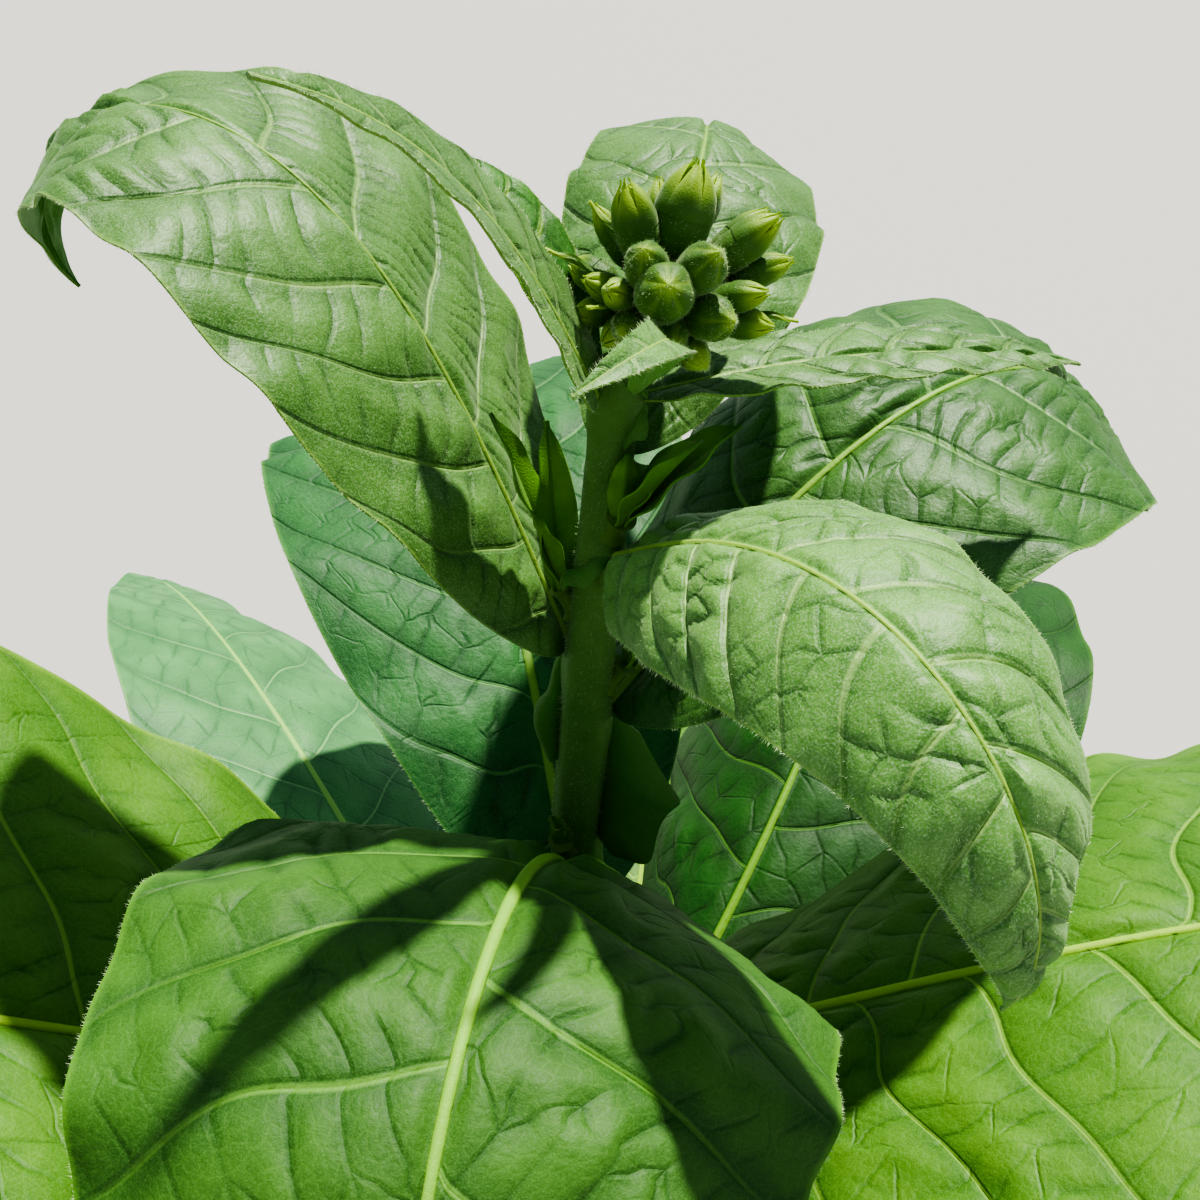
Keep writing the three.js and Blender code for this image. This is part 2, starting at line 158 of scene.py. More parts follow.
# Leaves read from the visible part of the plant, from the top of the stem down. The last row of
# each is for looks only: pairs of side veins, how far the blade puckers up between them, how
# wavy its margin is, half the width of its midrib at the foot, and its finish. Some also have
# the gap between rows of puckers on the left and on the right, as a share of the usual one, and
# the columns of puckers between two side veins.
VISIBLE_LEAVES = {
    "bract_back_left": dict(
        level=1262, heading=136, rise=65, droop=38, bend=1.3, sway=11, roll=-2, twist=-8,
        length=46, width=14, widest=0.54, fold=(4, 5), curl=(-5, -4),
        pairs=6, pucker=0.4, ruffle=0.3, rib=0.5, finish="lime",
    ),
    "bract_front": dict(
        level=1264, heading=311, rise=54, droop=76, bend=1.35, sway=-98.5, roll=-26, twist=-9,
        length=52.5, width=7.6, widest=0.44, fold=(8, 10), curl=(-1, 0),
        pairs=5, pucker=0.05, ruffle=0.1, rib=0.3, finish="sunlit_velvet",
    ),
    "right_slender": dict(
        level=1262, heading=10, rise=12, droop=28, bend=1, sway=7, roll=2, twist=1,
        length=84, width=19, widest=0.44, fold=(8, 6), curl=(-6, -9),
        pairs=9, pucker=1.3, ruffle=0.6, rib=0.45, finish="young",
    ),
    "left_folded": dict(
        level=1264, heading=228, rise=62.5, droop=46, bend=1.8, sway=-2, roll=-46, twist=34,
        length=82, width=18.5, widest=0.32, fold=(-3, 15), curl=(-4, 2),
        pairs=9, pucker=0.4, ruffle=0.25, rib=0.6, finish="young",
    ),
    "back_top": dict(
        level=1250, heading=67, rise=35, droop=87, bend=2.2, sway=25, roll=-4, twist=25,
        length=130, width=54, widest=0.47, fold=(-6, -1), curl=(-26, -27),
        pairs=8, pucker=2.1, ruffle=1.0, rib=0.7, finish="young", rungs=(0.85, 0.85), columns=2,
    ),
    "right_front": dict(
        level=1233, heading=301, rise=36, droop=151, bend=2, sway=2, roll=18, twist=-20,
        length=135, width=46, widest=0.38, fold=(-3, -14), curl=(-21, -44),
        pairs=12, pucker=2.5, ruffle=0.6, rib=0.7, finish="sunlit_velvet", rungs=(1.0, 0.85), columns=2,
    ),
    "left_back": dict(
        level=1207.5, heading=138, rise=62, droop=192, bend=3.25, sway=37, roll=19, twist=-40,
        length=183, width=80, widest=0.46, fold=(-3, -21), curl=(-3, 23),
        pairs=11, pucker=2.5, ruffle=1.0, rib=0.8, finish="young", rungs=(0.8, 0.55),
    ),
    "right_back": dict(
        level=1193, heading=31, rise=41, droop=167, bend=2.2, sway=5, roll=3, twist=31,
        length=201, width=91, widest=0.45, fold=(7, 4), curl=(-59, -9),
        pairs=10, pucker=2.9, ruffle=1.4, rib=1.0, finish="grown", rungs=(0.7, 0.65), columns=2,
    ),
    "front": dict(
        level=1153, heading=257, rise=61, droop=190, bend=1.25, sway=8, roll=-4, twist=-1,
        length=205, width=123, widest=0.31, fold=(-5, 0), curl=(-25, -15),
        pairs=9, pucker=3.0, ruffle=1.8, rib=1.7, finish="shaded",
    ),
    "back": dict(
        level=1129, heading=103, rise=42, droop=144, bend=1.6, sway=7, roll=-2, twist=-13,
        length=302, width=115, widest=0.47, fold=(8, 11), curl=(-9, -23),
        pairs=13, pucker=2.1, ruffle=1.8, rib=1.3, finish="cool_shade", rungs=(0.8, 0.8),
    ),
    "right_low": dict(
        level=1082, heading=347, rise=34, droop=101, bend=2.3, sway=21, roll=-2, twist=-7,
        length=331, width=179, widest=0.47, fold=(-3, 0), curl=(-25, -15),
        pairs=13, pucker=3.2, ruffle=2.2, rib=1.6, finish="sunny", rungs=(0.8, 0.8),
    ),
    "left_low": dict(
        level=1058, heading=204, rise=43, droop=29, bend=2, sway=-9, roll=-3, twist=-1,
        length=349, width=185, widest=0.5, fold=(5, 9), curl=(-10, -2),
        pairs=13, pucker=3.2, ruffle=2.2, rib=1.6, finish="sunny", rungs=(0.8, 0.8),
    ),
    # Painted shade: this leaf hangs in the shade of the leaves above it, so its finish is darkened
    # all over.
    "right_back_low": dict(
        level=1031, heading=49, rise=31, droop=144, bend=2.5, sway=38, roll=-1, twist=-19,
        length=359, width=159, widest=0.51, fold=(-12, -11), curl=(-50, -10),
        pairs=13, pucker=3.0, ruffle=2.2, rib=1.8, finish="painted_shade",
    ),
    "front_low": dict(
        level=1000, heading=286, rise=34, droop=95, bend=1.8, sway=6, roll=0, twist=8,
        length=365, width=165, widest=0.48, fold=(4, 4), curl=(-18, -18),
        pairs=13, pucker=3.2, ruffle=2.2, rib=1.8, finish="shaded",
    ),
    "left_back_low": dict(
        level=970, heading=124, rise=27, droop=56, bend=1.4, sway=0, roll=3, twist=28,
        length=420, width=112, widest=0.45, fold=(3, 0), curl=(-8, -21),
        pairs=13, pucker=1.3, ruffle=1.8, rib=1.8, finish="misty",
    ),
}


def lower_leaves():
    """The leaves below, by the spiral: larger to the middle of the stem, smaller at its foot."""
    leaves = {}
    level = LOWER_START_LEVEL
    for i in range(LOWER_LEAVES):
        down = i / (LOWER_LEAVES - 1)
        level -= LOWER_GAP_FIRST + LOWER_GAP_GROWTH * (i + 1)
        hump = math.sin(math.pi * min(down * 0.9 + 0.25, 1))
        ends = LOWER_LENGTH_TOP + (LOWER_LENGTH_FOOT - LOWER_LENGTH_TOP) * down
        length = ends + (LOWER_LENGTH_MOST - ends) * hump
        leaves[f"low_{i + 1:02d}"] = dict(
            level=level,
            heading=(LOWER_START_HEADING - SPIRAL_TURN * i) % 360,
            rise=37 - 7 * down + 4 * math.sin(i * 2.3),
            droop=98 - 26 * down + 7 * math.sin(i * 1.7),
            bend=1.7 + 0.2 * math.sin(i * 3.1),
            sway=7 * math.sin(i * 2.9),
            roll=5 * math.sin(i * 1.3),
            twist=10 * math.sin(i * 2.1 + 1),
            length=length,
            width=length * LOWER_WIDTH_SHARE,
            widest=0.47,
            fold=(5, 5),
            curl=(-20 + 6 * math.sin(i), -20 - 6 * math.sin(i)),
            pairs=13,
            pucker=2.8,
            ruffle=3.5,
            rib=3,
            finish=LOWER_FINISHES[i % len(LOWER_FINISHES)],
        )
    return leaves


# Finishes

def linear(colour):
    """A hex colour as the eye sees it, turned to the linear values that light works with."""
    parts = [int(colour[i:i + 2], 16) / 255 for i in (1, 3, 5)]
    return tuple(p / 12.92 if p <= 0.04045 else ((p + 0.055) / 1.055) ** 2.4 for p in parts) + (1,)


def add(tree, kind, feeds=(), **settings):
    """Adds a node with its settings. feeds gives its sockets, in their order or by name, a number,
    a colour, the output that they link to, or a node for that node's first output."""
    made = tree.nodes.new("ShaderNode" + kind)
    for name, value in settings.items():
        setattr(made, name, value)
    for socket, feed in feeds.items() if isinstance(feeds, dict) else enumerate(feeds):
        if isinstance(feed, bpy.types.Node):
            feed = feed.outputs[0]
        if isinstance(feed, bpy.types.NodeSocket):
            tree.links.new(feed, made.inputs[socket])
        else:
            made.inputs[socket].default_value = feed
    return made


def new_finish(name):
    """An empty material and its node tree."""
    material = bpy.data.materials.new(name)
    material.use_nodes = True
    material.node_tree.nodes.clear()
    return material, material.node_tree


# Side veins are about 0.7 mm wide. The net of the finest veins has meshes of 1 mm, drawn at
# 2 mm so that they show. The down is hairs 0.3 mm apart. Clouds of lighter green are about
# 24 mm wide, and the finest wrinkles of the skin about 2 mm.
SIDE_VEIN = 0.36
NET_MESH = 2.0
DOWN_GRAIN = 0.3
CLOUD_GRAIN = 24.0
WRINKLE_GRAIN = 2.2
# Gaps between side veins wider than this many millimetres hold two columns of puckers. The
# crease between the columns sways by this share of the gap, and lies far off where there is
# one column only.
TWO_COLUMNS_FROM = 18.0
MIDDLE_SWAY = 0.3
FAR_OFF = 9.0
# Depths in millimetres of the notches along the side veins, round the puckers and along the net,
# how far the first two reach to the side, and how high the down and the wrinkles stand.
VEIN_NOTCH = 0.28
EDGE_NOTCH = 0.24
NET_NOTCH = 0.02
NOTCH_WIDTH = 1.1
DOWN_RELIEF = 0.05
WRINKLE_RELIEF = 0.2
# How strongly the net, the side veins and the sheen of the down show.
NET_SHARE = 0.08
VEIN_SHARE = 0.55
SHEEN = 1.2
# Roughness that the down adds to the skin's.
DOWN_DULLS = 0.14
LEAF_IOR = 1.45
SKIN_IOR = 1.42
SKIN_DOWN_COLOUR = "#dbe8c0"


def blade_finish(name, colours):
    """Living leaf: waxy skin under short pale down, which gives a soft sheen at low angles.

    It reads four attributes: "veins" (count along the side veins, count along the rows of
    puckers, millimetres from the midrib), "place" (share of the half-width, height of the
    puckers, depth of the creases between them), "scale" (millimetres between side veins,
    between rows of puckers, and half the width of the midrib) and "one_column" (1 where one
    column of puckers lies between side veins, and 0 for two)."""
    material, tree = new_finish(name)
    soft = {"interpolation_type": "SMOOTHSTEP"}
    veins, place, scale = (
        add(tree, "Attribute", attribute_name=read).outputs["Vector"]
        for read in ("veins", "place", "scale")
    )
    count, rows, across = add(tree, "SeparateXYZ", [veins]).outputs
    side, puff, crease = add(tree, "SeparateXYZ", [place]).outputs
    gap, step, rib = add(tree, "SeparateXYZ", [scale]).outputs
    one_column = add(tree, "Attribute", attribute_name="one_column").outputs["Fac"]

    # Millimetres to the nearest side vein and to the nearest crease round a pucker, and how
    # many half-widths of the midrib lie between here and its middle.
    from_vein = add(tree, "Math", [count, 0.5], operation="PINGPONG")
    from_vein = add(tree, "Math", [from_vein, gap], operation="MULTIPLY")
    from_rung = add(tree, "Math", [rows, 0.5], operation="PINGPONG")
    from_rung = add(tree, "Math", [from_rung, step], operation="MULTIPLY")
    sway = add(tree, "Math", [rows, 1.0], operation="PINGPONG")
    sway = add(tree, "Math", [sway, 0.5], operation="SUBTRACT")
    sway = add(tree, "Math", [sway, MIDDLE_SWAY], operation="MULTIPLY")
    middle = add(tree, "Math", [count, 0.5], operation="ADD")
    middle = add(tree, "Math", [middle, sway], operation="ADD")
    middle = add(tree, "Math", [middle, 0.5], operation="PINGPONG")
    middle = add(tree, "Math", [middle, gap], operation="MULTIPLY")
    away = add(tree, "Math", [one_column, FAR_OFF], operation="MULTIPLY")
    from_middle = add(tree, "Math", [middle, away], operation="ADD")
    from_edge = add(tree, "Math", [from_rung, from_middle], operation="MINIMUM")
    from_rib = add(tree, "Math", [across], operation="ABSOLUTE")
    from_rib = add(tree, "Math", [from_rib, rib], operation="DIVIDE")
    narrowing = add(tree, "MapRange", [side, 0.3, 1.0, 1.0, 0.2], **soft)
    side_vein = [from_vein, SIDE_VEIN * 0.5, SIDE_VEIN * 1.9, 1.0, 0.0]
    side_vein = add(tree, "MapRange", side_vein, **soft)
    side_vein = add(tree, "Math", [side_vein, narrowing], operation="MULTIPLY")
    midrib = add(tree, "MapRange", [from_rib, 0.75, 1.2, 1.0, 0.0], **soft)

    # The net of fine veins, laid out flat, and the grain of the skin in space.
    along_veins = add(tree, "Math", [count, gap], operation="MULTIPLY")
    along_rows = add(tree, "Math", [rows, step], operation="MULTIPLY")
    flat = add(tree, "CombineXYZ", [along_veins, along_rows])
    net = add(tree, "TexVoronoi", {"Vector": flat, "Scale": 1 / NET_MESH},
              feature="DISTANCE_TO_EDGE", voronoi_dimensions="2D")
    spot = add(tree, "TexCoord").outputs["Object"]
    speckle, cloud, wrinkle = (
        add(tree, "TexNoise", {"Vector": spot, "Scale": 1 / (grain * MM), "Detail": detail})
        for grain, detail in ((DOWN_GRAIN, 1.0), (CLOUD_GRAIN, 3.0), (WRINKLE_GRAIN, 2.0))
    )

    # Colour: each layer covers those before it by its share. The hollows between puckers and
    # the creases round them are darkened as painted shade.
    cloudy = add(tree, "MapRange", [cloud, 0.38, 0.62, 0.0, 0.8], **soft)
    hollow_shade = add(tree, "MapRange", [puff, 0.05, 0.6, 0.7, 0.0], **soft)
    crease_shade = add(tree, "MapRange", [from_edge, 0.1, 0.7, 0.6, 0.0], **soft)
    crease_shade = add(tree, "Math", [crease_shade, crease], operation="MULTIPLY")
    net_line = add(tree, "MapRange", [net, 0.0, 0.12, 1.0, 0.0], **soft)
    net_line = add(tree, "Math", [net_line, NET_SHARE], operation="MULTIPLY")
    # The pale speckle is partly the down's own colour and partly painted sparkle of light on its
    # hairs.
    downy = add(tree, "MapRange", [speckle, 0.4, 0.75, 0.0, 1.0], **soft)
    downy = add(tree, "Math", [downy, colours["cover"]], operation="MULTIPLY")
    vein_line = add(tree, "Math", [side_vein, VEIN_SHARE], operation="MULTIPLY")
    rim = add(tree, "MapRange", [side, 0.975, 1.0, 0.0, 0.6], **soft)
    body = linear(colours["body"])
    for share, layer in (
        (cloudy, "crest"), (hollow_shade, "painted_shade"), (crease_shade, "painted_shade"), (net_line, "vein"),
        (downy, "down"), (vein_line, "vein"), (rim, "margin"), (midrib, "midrib"),
    ):
        feeds = {0: share, 6: body, 7: linear(colours[layer])}
        body = add(tree, "Mix", feeds, data_type="RGBA").outputs[2]

    # Relief: notches along the veins and creases but not on the midrib, then down and wrinkles.
    notch = add(tree, "MapRange", [from_vein, 0.0, NOTCH_WIDTH, VEIN_NOTCH, 0.0])
    edge_notch = add(tree, "MapRange", [from_edge, 0.0, NOTCH_WIDTH * 0.8, EDGE_NOTCH, 0.0])
    edge_notch = add(tree, "Math", [edge_notch, crease], operation="MULTIPLY")
    net_notch = add(tree, "MapRange", [net, 0.0, 0.3, NET_NOTCH, 0.0], **soft)
    vein_ridge = add(tree, "Math", [side_vein, VEIN_NOTCH * 0.5], operation="MULTIPLY")
    notch = add(tree, "Math", [notch, edge_notch], operation="ADD")
    notch = add(tree, "Math", [notch, net_notch], operation="ADD")
    notch = add(tree, "Math", [notch, vein_ridge], operation="SUBTRACT")
    off_midrib = add(tree, "Math", [1.0, midrib], operation="SUBTRACT")
    notch = add(tree, "Math", [notch, off_midrib], operation="MULTIPLY")
    height = add(tree, "Math", [speckle, DOWN_RELIEF], operation="MULTIPLY")
    height = add(tree, "Math", [height, notch], operation="SUBTRACT")
    wrinkled = add(tree, "Math", [wrinkle, WRINKLE_RELIEF], operation="MULTIPLY")
    height = add(tree, "Math", [height, wrinkled], operation="ADD")
    relief = add(tree, "Bump", {"Height": height, "Strength": 1.0, "Distance": MM})

    gloss = [speckle, 0.35, 0.7, colours["gloss"], colours["gloss"] + DOWN_DULLS]
    gloss = add(tree, "MapRange", gloss, **soft)
    shader = add(tree, "BsdfPrincipled", {
        "Base Color": body, "Normal": relief, "Roughness": gloss, "IOR": LEAF_IOR,
        "Sheen Weight": SHEEN * colours["cover"], "Sheen Roughness": 0.4,
        "Sheen Tint": linear(colours["down"]),
    })
    add(tree, "OutputMaterial", [shader])
    return material


def plain_finish(name, dark, light, grain, rough, relief, sheen, tip=None):
    """Green plant skin under down, mottled between two colours with clouds grain millimetres
    wide. With tip, the colour turns to it as the piece's "tip" attribute goes from 0 to 1."""
    material, tree = new_finish(name)
    spot = add(tree, "TexCoord").outputs["Object"]
    mottle = add(tree, "TexNoise", {"Vector": spot, "Scale": 1 / (grain * MM), "Detail": 4.0})
    feeds = {0: mottle, 6: linear(dark), 7: linear(light)}
    colour = add(tree, "Mix", feeds, data_type="RGBA").outputs[2]
    if tip:
        share = add(tree, "Attribute", attribute_name="tip").outputs["Fac"]
        feeds = {0: share, 6: colour, 7: linear(tip)}
        colour = add(tree, "Mix", feeds, data_type="RGBA").outputs[2]
    down = add(tree, "TexNoise", {"Vector": spot, "Scale": 1 / (DOWN_GRAIN * MM), "Detail": 2.0})
    bump = add(tree, "Bump", {"Height": down, "Strength": 0.7, "Distance": relief * MM})
    shader = add(tree, "BsdfPrincipled", {
        "Base Color": colour, "Normal": bump, "Roughness": rough, "IOR": SKIN_IOR,
        "Sheen Weight": sheen, "Sheen Roughness": 0.45, "Sheen Tint": linear(SKIN_DOWN_COLOUR),
    })
    add(tree, "OutputMaterial", [shader])
    return material


# Colours of each kind of blade: the painted shade in the hollows and creases of its puckers, its
# body and the lighter clouds on it, its down (whose pale speckle is partly painted sparkle), its
# veins, its midrib and its margin, then its roughness and how thickly the down covers it.
BLADE_COLOURS = {
    # The bright lime margin of this blade is painted glow of light shining through its thin edge.
    "lime": dict(painted_shade="#1e4e0c", body="#2d6814", crest="#3f7e1b", down="#90b860",
                 vein="#98c048", midrib="#a4c848", margin="#a4cc44", gloss=0.5, cover=0.14),
    "young": dict(painted_shade="#2f5a1a", body="#4b762d", crest="#5b873c", down="#b4cc9c",
                  vein="#96b868", midrib="#8cae4a", margin="#88aa52", gloss=0.45, cover=0.24),
    # A lighter copy of the young blade under the same down: painted light, for blades that lie in
    # full sun.
    "sunlit_velvet": dict(painted_shade="#3c6c24", body="#608f3e", crest="#70a04c", down="#c4d8ae",
                   vein="#a4c474", midrib="#9aba50", margin="#94b65c", gloss=0.45, cover=0.26),
    "grown": dict(painted_shade="#1f4c14", body="#386322", crest="#45732c", down="#9cba86",
                  vein="#86b262", midrib="#84ac42", margin="#74a048", gloss=0.46, cover=0.16),
    # This blade is a darker, bluer green as painted shade, for a leaf that lies mostly in shade.
    "cool_shade": dict(painted_shade="#164a1c", body="#2a632a", crest="#367334", down="#8cb08a",
                 vein="#74a85e", midrib="#86ae4c", margin="#64984a", gloss=0.53, cover=0.16),
    "misty": dict(painted_shade="#2f6a36", body="#4b8548", crest="#5a9556", down="#acccaa",
                  vein="#94be7c", midrib="#96c062", margin="#84b066", gloss=0.5, cover=0.16),
    "shaded": dict(painted_shade="#22500f", body="#3b671c", crest="#497726", down="#88b06a",
                   vein="#7cac46", midrib="#8aba46", margin="#689c34", gloss=0.56, cover=0.12),
    # This blade is darkened all over as painted shade, for a leaf that hangs in shade.
    "painted_shade": dict(painted_shade="#0b3406", body="#164a0b", crest="#205611", down="#5c8842",
                 vein="#5a8c2e", midrib="#74a034", margin="#487a20", gloss=0.56, cover=0.1),
    "sunny": dict(painted_shade="#30640e", body="#4a7a1c", crest="#5a8827", down="#9cba6c",
                  vein="#9ac050", midrib="#9ec244", margin="#88ae3c", gloss=0.54, cover=0.14),
}
blade_finishes = {
    name: blade_finish(f"downy_leaf_{name}", colours)
    for name, colours in BLADE_COLOURS.items()
}
# Underside of the blades: paler and duller than the top, with the down lying thicker.
underside = plain_finish("downy_leaf_underside", "#5f9440", "#7aa957", grain=9, rough=0.62,
                         relief=0.3, sheen=0.2)
# Ears at the leaf feet: thin soft skin, a little duller than the blades.
ear_skin = plain_finish("downy_leaf_ear", "#3f6f24", "#5c8c38", grain=8, rough=0.52,
                        relief=0.3, sheen=0.25)
# Stem: ribbed green skin under short sticky hairs, dull with a soft rim of light.
stem_skin = plain_finish("hairy_green_stem", "#487426", "#6a9246", grain=5, rough=0.5,
                         relief=0.5, sheen=0.3)
# Calyx: thick green sepals that turn to a bright lime at their tips, partly their own lighter
# tips and partly painted glow of light shining through them where they are thin.
calyx_skin = plain_finish("green_calyx", "#365a16", "#4e7a20", grain=3, rough=0.5,
                          relief=0.15, sheen=0.5, tip="#b0ce38")
# Side shoots: thin new growth, bright lime that darkens to the tips. The bright lime is partly
# the young growth's own colour and partly painted glow of light shining through the leaflets.
shoot_skin = plain_finish("lime_new_growth", "#477e1a", "#72a82a", grain=6, rough=0.5,
                          relief=0.25, sheen=0.2, tip="#35651c")
# Hairs: pale green and nearly smooth, so that they catch the light one by one.
hair_gloss = plain_finish("clear_plant_hair", "#c6d8a4", "#dbe8c2", grain=4, rough=0.4,
                          relief=0.02, sheen=0.0)


# Making of sheets and pieces

# An edge of a cylinder of unit size is upright where its ends differ in height by more than this.
SHORTEST_UPRIGHT = 0.001
NOISE_WAVES = 7
NOISE_HEIGHT = 3.2


def wear(piece, *finishes):
    """Gives the piece these finishes in place of any it has."""
    piece.data.materials.clear()
    for finish in finishes:
        piece.data.materials.append(finish)


def rows_of(parts, name, columns=3):
    """One property of all these vertices or faces as rows of numbers."""
    rows = np.empty(len(parts) * columns)
    parts.foreach_get(name, rows)
    return rows.reshape(-1, columns)


def points_of(piece):
    """The places of the piece's vertices."""
    return rows_of(piece.data.vertices, "co")


def place_points(piece, millimetres):
    """Puts the piece's vertices at these places, given in millimetres."""
    piece.data.vertices.foreach_set("co", (millimetres * MM).ravel())
    piece.data.update()


def write_rows(piece, name, *columns):
    """Keeps up to three numbers for each vertex as an attribute for the finish to read."""
    count = len(piece.data.vertices)
    rows = np.zeros((count, 3))
    for i, column in enumerate(columns):
        rows[:, i] = column
    attribute = piece.data.attributes.new(name, "FLOAT_VECTOR", "POINT")
    attribute.data.foreach_set("vector", rows.ravel())


def write_share(piece, name, share):
    """Keeps one number for each vertex as an attribute for the finish to read."""
    attribute = piece.data.attributes.new(name, "FLOAT", "POINT")
    attribute.data.foreach_set("value", np.broadcast_to(share, len(piece.data.vertices)).copy())


def choose(*pieces):
    """Selects these pieces and nothing else, with the first one active."""
    bpy.ops.object.select_all(action="DESELECT")
    for piece in pieces:
        piece.select_set(True)
    bpy.context.view_layer.objects.active = pieces[0]


def named(piece, name):
    """The piece under this name, with its mesh."""
    piece.name = name
    piece.data.name = name
    return piece


def placed(name, data):
    """A new object with this data in the scene."""
    thing = bpy.data.objects.new(name, data)
    bpy.context.collection.objects.link(thing)
    return thing


def new_grid(name, across, along):
    """A flat grid as a sheet to shape, with its share along and its place across, left positive."""
    bpy.ops.mesh.primitive_grid_add(x_subdivisions=across, y_subdivisions=along, size=2)
    sheet = named(bpy.context.object, name)
    flat = points_of(sheet)
    return sheet, np.clip((flat[:, 1] + 1) / 2, 0, 1), -flat[:, 0]


def thicken(sheet, most, shares=None, offset=-1):
    """Turns a sheet into a closed body. shares gives each vertex its part of the thickness."""
    wall = sheet.modifiers.new("wall", "SOLIDIFY")
    wall.thickness = most * MM
    wall.offset = offset
    wall.material_offset = 1
    if shares is not None:
        group = sheet.vertex_groups.new(name="wall")
        for i, share in enumerate(shares.tolist()):
            group.add([i], share, "REPLACE")
        wall.vertex_group = group.name
    choose(sheet)
    bpy.ops.object.modifier_apply(modifier=wall.name)
    sheet.vertex_groups.clear()


def smooth(piece, degrees):
    """Shades the piece smooth except over edges sharper than this."""
    choose(piece)
    bpy.ops.object.shade_smooth_by_angle(angle=math.radians(degrees))


def cut_uprights(piece, cuts):
    """Cuts each upright edge of a cylinder of unit size into cuts + 1 parts."""
    bpy.context.tool_settings.mesh_select_mode = (False, True, False)
    bpy.ops.object.mode_set(mode="EDIT")
    bpy.ops.mesh.select_all(action="DESELECT")
    bpy.ops.object.mode_set(mode="OBJECT")
    corners = piece.data.vertices
    for edge in piece.data.edges:
        low, high = (corners[i].co.z for i in edge.vertices)
        edge.select = abs(high - low) > SHORTEST_UPRIGHT
    bpy.ops.object.mode_set(mode="EDIT")
    bpy.ops.mesh.subdivide(number_cuts=cuts)
    bpy.ops.object.mode_set(mode="OBJECT")


def new_tube(name, sides, *rounds):
    """An upright cylinder to shape, with its share up and its turn about the middle. Each of the
    rounds is a number of cuts across the parts that it has by then."""
    bpy.ops.mesh.primitive_cylinder_add(vertices=sides, radius=1, depth=2)
    tube = named(bpy.context.object, name)
    for cuts in rounds:
        cut_uprights(tube, cuts)
    flat = points_of(tube)
    return tube, (flat[:, 2] + 1) / 2, np.arctan2(flat[:, 1], flat[:, 0])


def joined(name, pieces):
    """One object of all these pieces."""
    choose(*pieces)
    bpy.ops.object.join()
    return named(pieces[0], name)


def settle(piece, slot, *nodes):
    """Lets the piece ride on the plant, in place of its nodes. slot is not used."""
    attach(piece, "root")
    if nodes:
        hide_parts(*nodes)


def soft_noise(x, y, grain, seed):
    """Smooth noise of about -1 to 1 with bumps this many millimetres apart."""
    rng = np.random.default_rng(seed)
    total = 0
    for _ in range(NOISE_WAVES):
        turn, phase = rng.uniform(0, 2 * np.pi, 2)
        pace = rng.uniform(0.7, 1.5) * np.pi / grain
        total = total + np.sin((x * math.cos(turn) + y * math.sin(turn)) * pace + phase)
    return total / NOISE_HEIGHT


def eased(value, low, high):
    """0 below low, 1 above high and a smooth rise between."""
    share = np.clip((value - low) / (high - low), 0, 1)
    return share * share * (3 - 2 * share)


# Blades

VEIN_ANGLE = math.radians(58)
VEIN_SWEEP = 0.75
VEIN_CROWDING = 0.045
FOOT_FAN = 0.3
# Wide blades have straighter side veins, so that those do not run together at the foot.
MOST_SWEEP = 0.8
# The side veins of one side leave the midrib a little further up than those of the other.
VEIN_STAGGER = 0.25
VEIN_WOBBLE = 0.08
CURVE_MARKS = 400
SWEEP_STEPS = 20
SHEET_THICKNESS = 0.45
RIB_DEPTH = 1.7
MIDRIB_KEPT = 0.25
MARGIN_WAVES = 6
# The rows of points crowd at the side veins, and this share of the columns lies over the
# midrib and beside it, out to RIB_REACH times half its width.
ROW_CROWDING = 0.11
RIB_COLUMNS = 0.12
RIB_REACH = 2.4
# Millimetres between the rows of puckers on a blade of no length, and how fast that grows with
# the length. The rows start and lean by chance from column to column.
PUCKER_STEP = 4.6
PUCKER_STEP_GROWTH = 0.016
ROW_WOBBLE = 0.28
ROW_START = 0.55
ROW_LEAN = 0.4
COLUMN_BLEND = 0.12
# Added to the counts, so that they stay above zero and differ on the two sides of the midrib.
COUNT_START = 10
OTHER_SIDE = 40
# Depth of the creases between rows and between columns as a share of the puckers' height, the
# least share that a crease keeps where it fades, and the small bumps on the puckers.
RUNG_DEPTH = 0.85
MIDDLE_DEPTH = 0.75
CREASE_LEAST = 0.2
CREASE_GRAIN = 9
BUMP_SHARE = 0.12
BUMP_GRAIN = 4.5
UNEVEN_GRAIN = 26
# Shares of the midrib's half-width: the channel that it lies in, and its own ridge.
CHANNEL_DEPTH = 0.35
RIDGE_HEIGHT = 0.75
SIDE_RIB_DEPTH = 0.28
SIDE_RIB_WIDTH = 0.9
# Part of a blade's length that is set against the stem, and the points that are tried on it.
FOOT_END = 0.3
FOOT_ROWS = 39
FOOT_COLUMNS = 21


def rib_width(leaf, s):
    """Half the width of the midrib, which thins towards the tip."""
    return leaf["rib"] * (1 - (1 - MIDRIB_KEPT) * s**0.8)


